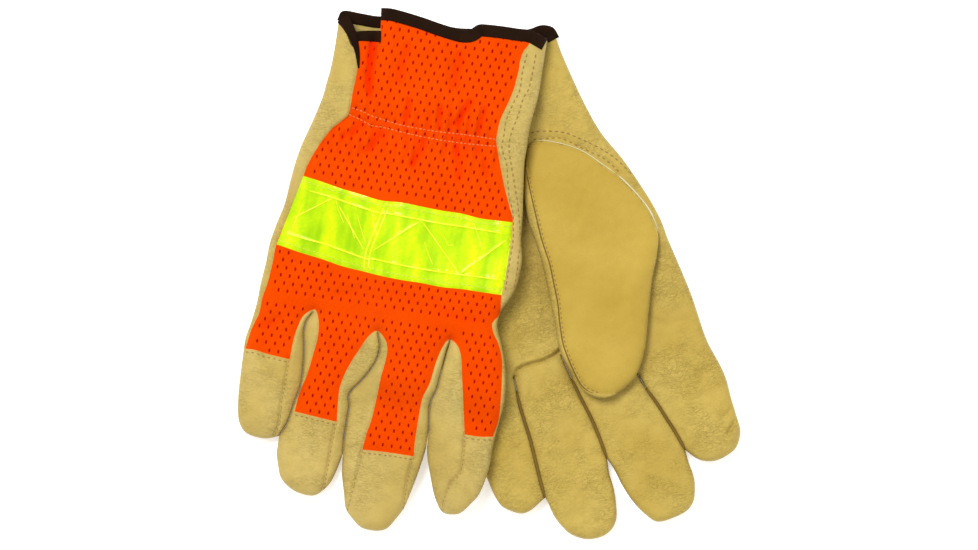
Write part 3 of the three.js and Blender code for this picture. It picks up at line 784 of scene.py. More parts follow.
R_MESH = joined(curve(R_MESH_OUTER), curve(R_MESH_LITTLE_END), curve(R_MESH_WEB1), curve(R_MESH_RING_END),
                curve(R_MESH_WEB2), curve(R_MESH_MIDDLE_END), curve(R_MESH_WEB3), curve(R_MESH_INDEX_END),
                curve(R_MESH_INDEX_SIDE), curve([(43.9, 6.7), (44.5, 14)]),
                curve([(44.5, 14), (-43.4, 14)]), curve([(-43.4, 14), (-43.4, -6.5)]))
R_TAPE = joined(curve(R_TAPE_TOP), curve(R_TAPE_RIGHT), curve(R_TAPE_LOW),
                curve([(-68.9, -117.7), (-60.5, -80.8)]))
R_TAPE_RIDGES = [(curve(R_TAPE_BORDER_TOP), 0.3), (curve(R_TAPE_BORDER_LOW), 0.3),
                 (curve(R_TAPE_CREASE), 0.45), (shifted(curve(R_TAPE_CREASE), 2.2), 0.35)]
R_TAPE_RIDGES += [(curve(line), 0.22) for line in
                  (R_TAPE_DIAG0, R_TAPE_DIAG1, R_TAPE_DIAG2, R_TAPE_DIAG3, R_TAPE_DIAG4)]
R_CAP_SEAMS = [curve(line) for line in
               (R_CAP_SEAM_LITTLE, R_CAP_SEAM_RING, R_CAP_SEAM_MIDDLE_L, R_CAP_SEAM_MIDDLE_R,
                R_CAP_SEAM_INDEX)]
R_CUTS = [curve([(-45.5, -149.2), (-45.5, -143)]), curve([(-11.2, -154.3), (-11.2, -143)]),
          curve([(26.1, -152.3), (26.1, -143)]), curve([(-80, -143), (60, -143)])]


def gathers(P):
    """The knit's small folds where the elastic pulls it together at the wrist."""
    x, y = P[:, 0], P[:, 1]
    waves = np.sin(x / 5.2 * math.tau + 1.5 * noise(P, 16, 5) + 0.6 * noise(P, 9, 6))
    fine = 0.9 * noise(P, 7, 7, (1, 0.3))
    return np.exp(-((y + 49) / 17)**2) * (1.3 * waves * (0.6 + 0.4 * noise(P, 14, 8)) + fine)


def fold_shade(P):
    """0 to 1: how deep each layout point lies in a fold of the right glove's knit; the knit's colour is darkened by
    it as painted shade.
    """
    return np.clip(-0.24 * gathers(P) - 0.26 * marks(P, R_MARKS) - 0.06, 0, 0.65)


def right_top(P):
    """The height of the right glove's back."""
    x, y = P[:, 0], P[:, 1]
    d = nearest(P, R_SIDES)[0]
    z = right_lift(P) + MIDDLE + crown(d, 6.3, 11)
    gap_shade = nearest(P, R_MESH, True)[0]
    cloth = inside(P, R_MESH)
    tape = inside(P, R_TAPE)
    edge = nearest(P, R_TAPE, True)[0]
    z += np.where(cloth, -0.5 * np.exp(-(gap_shade / 2.2)**2), 0.9 * (1 - np.exp(-(gap_shade / 0.8)**2)) - 0.2)
    z += np.where(tape, 0.5 * (1 - np.exp(-(edge / 0.7)**2)), 0)
    for line, height in R_TAPE_RIDGES:
        z += tape * height * np.exp(-(nearest(P, line)[0] / 0.55)**2)
    for line in R_CAP_SEAMS:
        z -= 1.2 * np.exp(-(nearest(P, line)[0] / 0.8)**2)
    inner = smooth((d - 3) / 10)
    broad = noise(P, 34, 3) * 1.0 + noise(P, 17, 4) * 0.5
    z += inner * broad * np.where(tape, 0.55, 1)
    rows = np.minimum(nearest(P, curve(R_ELASTIC_TOP))[0], nearest(P, curve(R_ELASTIC_LOW))[0])
    pull = np.exp(-((y + 49) / 17)**2) * inner * cloth
    sewn = 0.9 * np.exp(-(rows / 1.3)**2) + 1.2 * np.exp(-((y + 49) / 9)**2)
    z += gathers(P) * inner * cloth - pull * sewn
    soft = np.where(cloth, 0.35, 0.5)
    z += soft * smooth(d / 5) * (noise(P, 8, 11) * 0.7 + noise(P, 4.2, 12) * 0.35) * np.where(tape, 0.3, 1)
    z -= 2.4 * smooth((-31.8 - x) / 2.2) * smooth((y + 38) / 26)
    if len(R_HOLE_CENTRES):
        q = (P - nearest_centre(P, R_HOLE_CENTRES)) / [1.1, 1.7]
        z -= 0.28 * np.exp(-(q**2).sum(1))
    return z + marks(P, R_MARKS) * smooth(d / 2.5)


def right_low(P):
    """The height of the right glove's palm, which lies on the left glove and the table."""
    d = nearest(P, R_SIDES)[0]
    z = right_lift(P) + MIDDLE - crown(d, 6.1, 10)
    z += smooth(d / 5) * (0.25 * noise(P, 22, 21) + 0.12 * noise(P, 7, 22))
    return np.maximum(z, 0.05)


R_HOLE_CENTRES = holes_in(R_MESH, [np.vstack([R_TAPE, R_TAPE[:1]])] + R_CUTS, [R_TAPE])
R_MARKS = [
    (3.4, 1.8, [(-36, -2), (-35.5, -12), (-35, -24), (-33, -40)]),
    (2.6, 1.7, [(18.4, -28), (15.5, -37), (11, -46)]),
    (1.8, 1.7, [(-14, -32), (-13, -40), (-15, -48)]),
    (2.1, 1.8, [(-3, -50), (-4, -60), (-8, -70)]),
    (1.5, 1.5, [(4, -34), (3, -42), (4, -49)]),
    (1.8, 1.7, [(27, -30), (25, -40), (24, -50)]),
    (2.1, 1.8, [(-24, -50), (-27, -58), (-33, -66)]),
    (1.7, 1.8, [(14, -52), (17, -62), (18, -74)]),
    (1.6, 1.7, [(-34, -47), (-38, -54), (-46, -60)]),
    (1.5, 1.8, [(24, -51), (29, -60), (33, -70)]),
    (-0.8, 3.0, [(0, -6), (2, -18), (1, -30)]),
    (1.3, 2.8, [(10, -4), (9, -16), (8, -28)]),
    (1.3, 2.6, [(-17, -4), (-19, -16), (-20, -30)]),
    (-0.9, 2.6, [(-28, 8), (-27, -8), (-26.5, -20), (-26, -36)]),
    (0.8, 2.4, [(-22.5, -89), (-24.5, -101), (-27.5, -113), (-28, -124)]),
    (1.0, 2.0, [(-60, -152), (-66, -158), (-74, -160)]),
    (0.6, 2.2, [(-20, -130), (-28, -137), (-38, -139)]),
    (0.7, 2.6, [(10, -130), (20, -138), (33, -141), (44, -139)]),
]


def normals_and_world(layout, top, low, top_z, low_z):
    """World points and shared normals of a glove's two faces."""
    zt, zl = top_z(top.P), low_z(low.P)
    VT, VL = layout.world(top.P, zt), layout.world(low.P, zl)
    low.tris = low.tris[:, ::-1]
    NT, NL = welded_normals((VT, top.tris), (VL, low.tris))
    return (VT, NT, top.P), (VL, NL, low.P)


def pick(face, sheet, chosen):
    V, N, P = face
    return V, sheet.tris[chosen], N, P


class Rows:
    """Gathers a body's stitches, and makes one piece of each thread colour."""

    def __init__(self):
        self.made = {}

    def sew(self, body, layout, line, height, colour=None, pitch=3.0, size=0.3, sink=0.0):
        line = curve(line, 0.5)
        run = np.r_[0, np.cumsum(np.linalg.norm(np.diff(line, axis=0), axis=1))]
        count = max(1, int(run[-1] / pitch))
        at = (np.arange(count) + 0.5) * run[-1] / count
        spots = np.column_stack([np.interp(at, run, line[:, k]) for k in (0, 1)])
        ahead = np.column_stack([np.interp(at + 0.4, run, line[:, k]) for k in (0, 1)])
        back = np.column_stack([np.interp(at - 0.4, run, line[:, k]) for k in (0, 1)])
        t = ahead - back
        t /= np.linalg.norm(t, axis=1)[:, None] + 1e-9
        half = pitch * 0.37
        ends = [spots + t * half * s for s in (-1, -0.6, 0, 0.6, 1)]
        zs = [height(e) for e in ends]
        lift = np.array([-0.35, 0.0, 0.14, 0.0, -0.35])
        fat = (0.35, 0.9, 1.0, 0.9, 0.35)
        rings = []
        for e, z, up, f in zip(ends, zs, lift, fat):
            side = np.column_stack([-t[:, 1], t[:, 0]])
            ring = []
            for a in np.arange(6) * math.tau / 6:
                p = e + side * (math.cos(a) * size * f)
                ring.append(layout.world(p, z + up + sink + math.sin(a) * size * f))
            rings.append(ring)
        V, F, U = self.made.setdefault((body, colour or TAN_THREAD), ([], [], []))
        for s in range(count):
            first = len(V)
            for k, ring in enumerate(rings):
                for m, corner in enumerate(ring):
                    V.append(corner[s])
                    U.append((k * 0.004, m * 0.003))
            for k in range(4):
                for m in range(6):
                    a, b = first + k * 6 + m, first + k * 6 + (m + 1) % 6
                    F.append((a, b, b + 6, a + 6))
            F.append(tuple(first + m for m in range(5, -1, -1)))
            F.append(tuple(first + 24 + m for m in range(6)))

    def finish(self):
        out = {}
        for (body, material), (V, F, U) in self.made.items():
            tag = "stitches" if material is TAN_THREAD else material.name.split("_")[0] + "_stitches"
            out[body, tag] = mesh_object(f"{body}_{tag}", V, F, U, material)
        return out


STITCHES = Rows()

# ---------------------------------------------------------------- the right glove
r_lines = [np.vstack([R_MESH, R_MESH[:1]]), np.vstack([R_TAPE, R_TAPE[:1]])] + R_CUTS
r_relief = [line for line, _ in R_TAPE_RIDGES] + R_CAP_SEAMS
FINE = 1.25
COARSE = 1.9
r_top = Sheet(R_TOP_OUTLINE, r_lines + r_relief, FINE, [R_MESH], r_lines[1:], [R_TAPE])
r_low = Sheet(R_LOW_OUTLINE, R_CUTS, COARSE)
R_TOP, R_LOW = normals_and_world(R, r_top, r_low, right_top, right_low)


def finger_of(mid, webs, cut):
    """0 for the hand, or 1 to 4 for the finger a triangle belongs to, from the outer side."""
    number = 1 + sum((mid[:, 0] > np.interp(mid[:, 1], w[::-1, 1], w[::-1, 0])).astype(int) for w in webs)
    return np.where(mid[:, 1] > cut, 0, number)


R_WEBS = [curve(c) for c in (R_CREASE1, R_CREASE2, R_CREASE3)]
top_finger = finger_of(r_top.mid, R_WEBS, -143)
low_finger = finger_of(r_low.mid, R_WEBS, -143)
cloth = inside(r_top.mid, R_MESH)
taped = inside(r_top.mid, R_TAPE)
R_HAND = "right_glove"
pieces = {}


def knit_parts(face, sheet, chosen):
    """What shell() needs for a panel of knit: the panel, its thickness and material, and its backing, whose dark
    red is painted shade.
    """
    return [pick(face, sheet, chosen & ~sheet.hole)], 0.8, ORANGE, [pick(face, sheet, chosen & sheet.hole)]


def paint_fold_shade(piece):
    """Stores the fold shading at each of a knit piece's points, for its colour: painted shade in the knit's folds.
    """
    mesh = piece.data
    uv, at = np.zeros(2 * len(mesh.loops)), np.zeros(len(mesh.loops), np.int32)
    mesh.uv_layers["Layout"].data.foreach_get("uv", uv)
    mesh.loops.foreach_get("vertex_index", at)
    P = np.zeros((len(mesh.vertices), 2))
    P[at] = uv.reshape(-1, 2) / UV
    mesh.attributes.new("Fold", "FLOAT", "POINT").data.foreach_set("value", fold_shade(P).astype(np.float32))
    return piece


def hand_piece(name, parts, thickness, material, floors, body, *nodes, slot_name):
    piece = shell(name, parts, thickness, material, floors)
    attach(piece, body)
    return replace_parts(piece, *nodes)


paint_fold_shade(hand_piece("right_back", *knit_parts(R_TOP, r_top, (top_finger == 0) & cloth & ~taped), R_HAND,
                      "right_back_mesh", slot_name="orange_mesh"))
hand_piece("right_band", [pick(R_TOP, r_top, taped)], TAPE_THICK, LIME, (), R_HAND,
           "right_reflective_tape", slot_name="reflective_tape")
skin = (top_finger == 0) & ~cloth & ~taped
hand_piece("right_side_strip", [pick(R_TOP, r_top, skin & (r_top.mid[:, 0] > 0))],
           LEATHER_THICK, GRAIN, (), R_HAND,
           "right_index_side_strip", slot_name="grain_leather")
hand_piece("right_palm",
           [pick(R_LOW, r_low, low_finger == 0), pick(R_TOP, r_top, skin & (r_top.mid[:, 0] < 0))],
           LEATHER_THICK, GRAIN, (), R_HAND,
           "right_palm_leather", "right_outer_edge_leather", slot_name="grain_leather")
for number, finger in enumerate(("little", "ring", "middle", "index"), 1):
    mine = top_finger == number
    body = f"right_{finger}_finger"
    sides = {"little": ["inner_fourchette"], "index": ["outer_fourchette", "outer_side"]}
    mesh = paint_fold_shade(shell(f"right_{finger}_back", *knit_parts(R_TOP, r_top, mine & cloth)))
    skin = shell(f"right_{finger}_leather",
                 [pick(R_TOP, r_top, mine & ~cloth), pick(R_LOW, r_low, low_finger == number)],
                 LEATHER_THICK, GRAIN)
    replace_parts(mesh, f"right_{finger}_back_mesh")
    nodes = ["tip_cap", "palm_side"] + sides.get(finger, ["inner_fourchette", "outer_fourchette"])
    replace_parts(skin, *(f"right_{finger}_{n}" for n in nodes))
    for piece in (mesh, skin):
        pieces[piece.name] = (piece, "right_glove", body, R, *RIGHT_ROOT)


# ---------------------------------------------------------------- the left glove
L_SLOTS = [slot(L_CREASE_IM, 1), slot(L_CREASE_MR, 1), slot(L_CREASE_RL, 1)]
L_SIDES = joined(curve(L_RIGHT_SIDE), L_SLOTS[0], curve(L_MIDDLE_TIP), L_SLOTS[1], curve(L_RING_TIP),
                 L_SLOTS[2], curve(L_LITTLE_TIP), curve(L_LITTLE_SIDE), curve(L_OUTER_SIDE))
L_OUTLINE = joined(L_SIDES, curve(L_CUFF_TOP))
L_CUTS = [curve([(-31, -147.8), (-31, -140)]), curve([(-4.3, -146.1), (-4.3, -140)]),
          curve([(-36, -140), (0, -140)]), curve([(-6, -172), (29.8, -172)]),
          curve([(29.2, -168.6), (29.2, -163)]), curve([(29.2, -163), (72, -163)])]
L_MESH = joined(
    curve([(-46, 27), (-47, -10), (-50, -45), (-54, -70), (-58, -95),
           (-60.5, -120), (-61.5, -147), (-60, -176)]),
    curve([(-60, -176), (-41, -177)]),
    curve([(-41, -177), (-40, -160), (-38, -151), (-33, -145), (-28, -150),
           (-27.5, -165), (-29, -185), (-30.5, -202)]),
    curve([(-30.5, -202), (-7.5, -203)]),
    curve([(-7.5, -203), (-6.5, -185), (-8, -165), (-8.5, -152), (-4, -143),
           (0.5, -150), (2.5, -165), (4.5, -185), (5, -206)]),
    curve([(5, -206), (31, -207)]),
    curve([(31, -207), (30, -190), (26, -176), (24.5, -166), (29, -160), (33.5, -166),
           (36.5, -178), (40, -192), (43, -200)]),
    curve([(43, -200), (66, -199)]),
    curve([(66, -199), (66.5, -185), (64.5, -165), (62, -150), (61, -120), (56, -90),
           (46, -65), (40, -48), (38, -30), (38, 27)]),
    curve([(38, 27), (-46, 27)]))
L_TAPE = joined(curve([(-56.5, -84), (0, -87), (55, -86)]), curve([(55, -86), (61, -122)]),
                curve([(61, -122), (0, -125), (-60.5, -122)]), curve([(-60.5, -122), (-56.5, -84)]))

L_MARKS = [
    (0.7, 1.6, [(-2, -100), (-4, -118), (-8, -134), (-14, -141)]),
    (0.5, 1.3, [(-4, -84), (-9, -88), (-15, -89)]),
    (0.5, 1.3, [(-4, -93), (-11, -98), (-18, -99)]),
    (0.6, 1.4, [(-6, -106), (-14, -110), (-22, -110)]),
    (0.6, 1.4, [(-9, -117), (-17, -121), (-26, -120)]),
    (0.6, 1.4, [(-12, -127), (-20, -131), (-29, -131)]),
    (0.8, 1.6, [(-36, -150), (-38, -162), (-40, -176)]),
    (0.6, 1.5, [(-41, -152), (-43, -166), (-45, -182)]),
    (0.5, 1.3, [(-24, -156), (-27, -163), (-31, -166)]),
    (0.6, 2.2, [(-22, -152), (-26, -160), (-28, -172)]),
    (0.5, 1.8, [(-12, -150), (-17, -156), (-24, -160)]),
    (0.5, 2.0, [(-8, -184), (-18, -187), (-30, -186)]),
    (0.45, 1.8, [(-10, -194), (-20, -196), (-31, -194)]),
    (0.6, 2.2, [(5, -184), (16, -188), (29, -186)]),
    (0.45, 1.8, [(8, -195), (18, -198), (32, -196)]),
    (0.7, 2.4, [(33, -176), (44, -181), (60, -180), (69, -176)]),
    (0.5, 2.0, [(38, -188), (50, -191), (64, -188)]),
    (2.2, 1.2, [(74, -204), (69.5, -206.5), (64, -211), (60, -213.5)]),
    (-1.2, 1.8, [(73, -208), (68.5, -210), (63, -215), (59, -219)]),
    (1.2, 1.2, [(71, -199), (65, -203), (59, -205)]),
    (0.6, 3.0, [(46, -130), (54, -136), (64, -136)]),
    (0.5, 2.4, [(44, -146), (55, -150), (67, -149)]),
    (0.5, 3.0, [(30, -5), (36, -20), (40, -34)]),
    (-0.5, 3.5, [(24, -2), (29, -18), (33, -30)]),
]


L_TUCK_LINE = curve([(-35, -150)] + L_TUCK + [(4, -142)])
L_TIP_FOLD = curve([(69.5, -206.5), (64, -211), (60, -213.5)])


def left_top(P):
    """The height of the left glove's palm."""
    x, y = P[:, 0], P[:, 1]
    d = nearest(P, L_SIDES)[0]
    Q = L.to(R, P)
    free = smooth(nearest(Q, R_TOP_OUTLINE, True)[0] / 7) * ~inside(Q, R_TOP_OUTLINE)
    z = MIDDLE + crown(d, 6.25, 8.5, 3.8)
    z += smooth((d - 2) / 9) * (noise(P, 30, 33) * 0.35 + noise(P, 13, 34) * 0.3 * free)
    z += free * smooth(d / 4) * (noise(P, 6.5, 35) * 0.26 + noise(P, 3.6, 36) * 0.16)
    arc = nearest(P, curve(L_ROW_IN + [(60.9, -80), (64, -92)]))[0]
    z += free * (0.5 * np.exp(-((arc - 2.4) / 2.2)**2) - 0.5 * np.exp(-(arc / 1.1)**2))
    z += free * marks(P, L_MARKS) * smooth(d / 2.5)
    tuck, share, side = nearest(P, L_TUCK_LINE)
    step = side * (1 - np.exp(-tuck / 0.35)) * np.exp(-(tuck / 5)**2)
    fold = 1.3 * step - 2.6 * np.exp(-(tuck / 0.8)**2)
    z += fold * free * smooth(d / 1.5) * smooth(np.minimum(share, 1 - share) * 12)
    return np.minimum(z, 13.0 + 2 * free)


def left_low(P):
    """The height of the left glove's back, which lies on the table."""
    d = nearest(P, L_SIDES)[0]
    z = MIDDLE - crown(d, 6.25, 10, 3) + smooth(d / 6) * (0.3 * noise(P, 20, 41) + 0.15 * noise(P, 6, 42))
    gap_shade = nearest(P, L_MESH, True)[0]
    edge = nearest(P, L_TAPE, True)[0]
    rest = np.where(inside(P, L_MESH), 0.9 - 0.4 * np.exp(-(gap_shade / 1.2)**2), 0.1)
    rest = np.where(inside(P, L_TAPE), 0.9 - 0.6 * (1 - np.exp(-(edge / 0.7)**2)), rest)
    return np.maximum(z, rest)


l_lines = [np.vstack([L_MESH, L_MESH[:1]]), np.vstack([L_TAPE, L_TAPE[:1]])] + L_CUTS
l_top = Sheet(L_OUTLINE, L_CUTS + [L_TUCK_LINE, L_TIP_FOLD, curve(L_ROW_IN)], FINE)
l_low = Sheet(L_OUTLINE, l_lines, COARSE, [L_MESH], l_lines[1:], [L_TAPE])
L_TOP, L_LOW = normals_and_world(L, l_top, l_low, left_top, left_low)


def left_part(mid):
    """Which body a triangle of the left glove is on: 0 the hand, 1 ring, 2 middle, 3 index."""
    x, y = mid[:, 0], mid[:, 1]
    at = [np.interp(y, curve(c)[::-1, 1], curve(c)[::-1, 0]) for c in (L_CREASE_RL, L_CREASE_MR, L_CREASE_IM)]
    part = np.zeros(len(mid), int)
    part[(y < -140) & (x > at[0]) & (x < at[1])] = 1
    part[(y < -172) & (x > at[1]) & (x < at[2])] = 2
    part[(y < -163) & (x > at[2])] = 3
    return part


L_HAND = "left_glove"
top_part, low_part = left_part(l_top.mid), left_part(l_low.mid)
cloth = inside(l_low.mid, L_MESH)
taped = inside(l_low.mid, L_TAPE)
hand_piece("left_back", *knit_parts(L_LOW, l_low, (low_part == 0) & cloth & ~taped), L_HAND,
           "left_back_mesh", "left_little_back_mesh", slot_name="orange_mesh")
hand_piece("left_band", [pick(L_LOW, l_low, taped)], TAPE_THICK, LIME, (), L_HAND,
           "left_reflective_tape", slot_name="reflective_tape")
skin = (low_part == 0) & ~cloth & ~taped
hand_piece("left_side_strip", [pick(L_LOW, l_low, skin & (l_low.mid[:, 0] > 20))],
           LEATHER_THICK, PALM, (), L_HAND,
           "left_index_side_strip", slot_name="grain_leather")
hand_piece("left_palm",
           [pick(L_TOP, l_top, top_part == 0), pick(L_LOW, l_low, skin & (l_low.mid[:, 0] < 20))],
           LEATHER_THICK, PALM, (), L_HAND, "left_palm_leather", "left_outer_edge_leather", "left_little_palm_side",
           "left_little_tip_cap", "left_little_inner_fourchette", slot_name="grain_leather")
SPANS = {"ring": (-147, -163), "middle": (-175, -190), "index": (-167, -182)}
for number, finger in enumerate(("ring", "middle", "index"), 1):
    mine = low_part == number
    mesh = shell(f"left_{finger}_back", *knit_parts(L_LOW, l_low, mine & cloth))
    skin = shell(f"left_{finger}_leather",
                 [pick(L_TOP, l_top, top_part == number), pick(L_LOW, l_low, mine & ~cloth)],
                 LEATHER_THICK, PALM)
    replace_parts(mesh, f"left_{finger}_back_mesh")
    inner = ["inner_fourchette", "outer_fourchette"]
    sides = ["outer_fourchette", "outer_side"] if finger == "index" else inner
    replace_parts(skin, *(f"left_{finger}_{n}" for n in ["tip_cap", "palm_side"] + sides))
    for piece in (mesh, skin):
        pieces[piece.name] = (piece, L_HAND, f"left_{finger}_finger", L, *SPANS[finger])

# the folded thumb, a tube that grows out of the palm at its arc seam
L_THUMB_EDGE = joined(curve(L_THUMB[:18] + [(12.5, -174.4)] + L_THUMB_WELT_OUT[::-1]))
L_THUMB_ARC = curve(L_THUMB[:7])
L_THUMB_SEAM = curve(L_THUMB[18:] + L_THUMB[:1])
T_MARKS = [
    (0.5, 4, [(14, -128), (26, -133), (40, -130)]),
    (0.45, 5, [(12, -92), (26, -97), (46, -92)]),
]


def thumb_rise(P):
    return smooth(nearest(P, L_THUMB_ARC)[0] / 40)


def thumb_top(P):
    d = nearest(P, L_THUMB_EDGE, True)[0]
    rise = thumb_rise(P)
    z = 13.1 + 6.1 * rise + crown(d, 2.4 + 3.6 * rise, 13)
    gap_shade, _, side = nearest(P, L_THUMB_SEAM)
    z -= 1.3 * smooth(rise * 3) * np.exp(-(gap_shade / 0.8)**2) * smooth(d)
    z -= 1.2 * (side < 0) * smooth(rise * 3) * smooth(gap_shade / 1.2)
    z += smooth(d / 6) * (0.35 * noise(P, 24, 51) + 0.14 * noise(P, 7, 52) + 0.06 * noise(P, 3.4, 53))
    return z + marks(P, T_MARKS) * smooth(d / 4)


def thumb_low(P):
    d = nearest(P, L_THUMB_EDGE, True)[0]
    rise = thumb_rise(P)
    return np.maximum(13.1 + 6.1 * rise - crown(d, 5 * rise, 12), 13.1)


t_cut = curve([(-10, -60), (70, -60)])
t_top = Sheet(L_THUMB_EDGE, [t_cut, L_THUMB_SEAM], FINE)
t_low = Sheet(L_THUMB_EDGE, [t_cut], COARSE)
T_TOP, T_LOW = normals_and_world(L, t_top, t_low, thumb_top, thumb_low)
root, under = t_top.mid[:, 1] > -60, t_low.mid[:, 1] > -60
strip = ~inside(t_top.mid, joined(curve(L_THUMB + L_THUMB[:1])))
hand_piece("left_thumb_wing_leather", [pick(T_TOP, t_top, root), pick(T_LOW, t_low, under)],
           THUMB_THICK, THUMB_SKIN, (), L_HAND, "left_thumb_wing", slot_name="thumb_leather")
panel = shell("left_thumb_front", [pick(T_TOP, t_top, ~root & ~strip)], THUMB_THICK, THUMB_SKIN)
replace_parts(panel, "left_thumb_outer_panel")
welt = shell("left_thumb_edge", [pick(T_TOP, t_top, ~root & strip)], THUMB_THICK, PALM)
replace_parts(welt, "left_thumb_welt", "left_thumb_side")
back = shell("left_thumb_back", [pick(T_LOW, t_low, ~under)], THUMB_THICK, PALM)
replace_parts(back, "left_thumb_inner_panel")
for piece in (panel, welt, back):
    pieces[piece.name] = (piece, L_HAND, "left_thumb", L, *THUMB_ROOT)


# ---------------------------------------------------------------- cuff bindings
def bound_edge(line, height, side=1, width=5.8, taper=0.0):
    """A tape folded over a cuff's edge: rows of points round its section, all the way along."""
    line = curve(line, 1.5)
    t = np.gradient(line, axis=0)
    t /= np.linalg.norm(t, axis=1)[:, None]
    into = np.column_stack([-t[:, 1], t[:, 0]])
    share = np.linspace(0, 1, len(line))
    w = width * (1 - taper * share)
    section = [(1.0, 0.0), (0.98, 0.5), (0.8, 0.7), (0.5, 0.75), (0.22, 0.7), (0.04, 0.55),
               (-0.07, 0.25), (-0.1, -0.5), (-0.07, -1.25), (0.04, -1.5), (0.22, -1.65), (0.5,
                                                                                          -1.7), (0.8, -1.65), (0.98, -1.5), (1.0, -1.1)]
    rows, laid = [], []
    for u, up in section:
        P = line + into * (w * u)[:, None]
        z = height(line + into * (w * max(u, 0.0))[:, None])
        rows.append((P, np.maximum(z + side * up, 0.05)))
        laid.append(np.column_stack([share * len(line) * 0.015, np.full(len(line), u * 0.06 + up * 0.02)]))
    return rows, laid


def binding(name, layout, strips, body, node):
    V, F, U = [], [], []
    for line, height, side, width, taper in strips:
        rows, laid = bound_edge(line, height, side, width, taper)
        first, n, m = len(V), len(rows[0][0]), len(rows)
        for (P, z), u in zip(rows, laid):
            V += list(layout.world(P, z))
            U += list(u)
        for i in range(n - 1):
            for k in range(m):
                a, b = first + k * n + i, first + (k + 1) % m * n + i
                F.append((a, a + 1, b + 1, b) if side > 0 else (b, b + 1, a + 1, a))
        ring = [first + k * n for k in range(m)]
        F.append(tuple(ring if side > 0 else ring[::-1]))
        ring = [r + n - 1 for r in ring]
        F.append(tuple(ring[::-1] if side > 0 else ring))
    piece = mesh_object(name, V, F, U, BINDING)
    bpy.context.view_layer.update()
    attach(piece, body)
    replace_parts(piece, node)


binding("right_binding", R, [
    (R_CUFF, right_top, 1, 5.8, 0),
    ([(-32.3, -2.5), (-38, -3.2), (-44.4, -4.6), (-47.5, -7.5)], right_top, 1, 5.4, 0.2),
    ([(-54.8, -0.4), (-49.5, -5.5), (-46, -10.5), (-43.3, -16), (-41.2, -22.5)], right_top, 1, 6.0, 0.86),
    ([(52.2, 6.3), (30, 8.3), (5, 4.8), (-20, 8.3), (-34, 4.8), (-43.5, 4.8), (-53, 4.8), (-54.9, 0)],
     right_low, -1, 5.6, 0),
], R_HAND, "right_cuff_binding")
L_CUFF_EDGE = [(49.6, 7), (48.4, 12.4), (43.5, 15.3), (38.1, 15.4), (22.5, 17.3), (1.6, 19.5),
               (-19.6, 20.7), (-40.9, 21.9), (-51.2, 21.2)]
binding("left_binding", L, [
    (L_CUFF_EDGE, left_top, 1, 5.8, 0),
    (L_CUFF_EDGE, left_low, -1, 5.8, 0),
], L_HAND, "left_cuff_binding")

# ---------------------------------------------------------------- stitches
sew = STITCHES.sew
sew("left_thumb", L, shifted(L_THUMB_SEAM, -0.5)[6:-14], thumb_top, None, 2.4, 0.24)
BENDS["left_thumb"] = ("left_glove", "left_thumb", *(L.point(0, y, 0) for y in THUMB_ROOT))
sew(R_HAND, R, R_ELASTIC_TOP, right_top, PALE_THREAD, 2.1, 0.32, 0.15)
sew(R_HAND, R, R_ELASTIC_LOW, right_top, PALE_THREAD, 2.1, 0.32, 0.15)
sew(R_HAND, R, R_STRIP_ROW1, right_top)
sew(R_HAND, R, R_STRIP_ROW2, right_top)
sew(L_HAND, L, L_ROW_IN, left_top)
sew(L_HAND, L, L_ROW_OUT, left_top)
inset = shifted(curve(R_TAPE_TOP), -2.4)
sew(R_HAND, R, inset, right_top, LIME_THREAD, 2.6, 0.24)
inset = shifted(curve(R_TAPE_LOW), -2.4)
sew(R_HAND, R, inset, right_top, LIME_THREAD, 2.6, 0.24)
FINGERS = {"little": R_MESH_LITTLE_END, "ring": R_MESH_RING_END,
           "middle": R_MESH_MIDDLE_END, "index": R_MESH_INDEX_END}
SEAMS = {"little": [R_CAP_SEAM_LITTLE], "ring": [R_CAP_SEAM_RING],
         "middle": [R_CAP_SEAM_MIDDLE_L, R_CAP_SEAM_MIDDLE_R], "index": [R_CAP_SEAM_INDEX]}
for finger, line in FINGERS.items():
    body = f"right_{finger}_finger"
    for gap_shade in SEAMS[finger]:
        sew(body, R, shifted(curve(gap_shade), 0.25), right_top, None, 2.3, 0.2)
    sew(body, R, shifted(curve(line), -1.6), right_top, None, 2.6, 0.24)
    BENDS[body] = ("right_glove", body, *(R.point(0, y, 0) for y in RIGHT_ROOT))


# ---------------------------------------------------------------- parts that hardly show
def flat_part(rows):
    """An outline, in the layout, from rows of (y, middle x, half width)."""
    rows = np.asarray(rows, float)
    left = np.column_stack([rows[:, 1] - rows[:, 2], rows[:, 0]])
    right = np.column_stack([rows[:, 1] + rows[:, 2], rows[:, 0]])
    tip = rows[-1]
    end = [(tip[1] - tip[2] * 0.5, tip[0] - 3), (tip[1] + tip[2] * 0.5, tip[0] - 3)]
    return joined(curve(np.vstack([left, end, right[::-1]])), curve([right[0], left[0]]))


R_THUMB = flat_part([(-44, 30, 15), (-66, 27.8, 21), (-95, 28, 22), (-127, 24, 21),
                     (-150, 18.8, 18), (-164, 14.5, 12), (-171, 12.6, 7)])


def folded_thumb(side):
    def height(P):
        d = nearest(P, R_THUMB, True)[0]
        ripple = smooth(d / 5) * 0.2 * noise(P, 14, 61)
        return right_lift(P) - 2.7 + side * crown(d, 2.1, 4) + ripple
    return height


u_top, u_low = Sheet(R_THUMB, [], COARSE), Sheet(R_THUMB, [], COARSE)
U_TOP, U_LOW = normals_and_world(R, u_top, u_low, folded_thumb(1), folded_thumb(-1))
everything = [np.ones(len(s.tris), bool) for s in (u_top, u_low)]
hand_piece("right_thumb", [pick(U_TOP, u_top, everything[0]), pick(U_LOW, u_low, everything[1])],
           TUCKED_THICK, THUMB_SKIN, (), R_HAND, "right_thumb_outer_panel", "right_thumb_inner_panel", slot_name="thumb_leather")


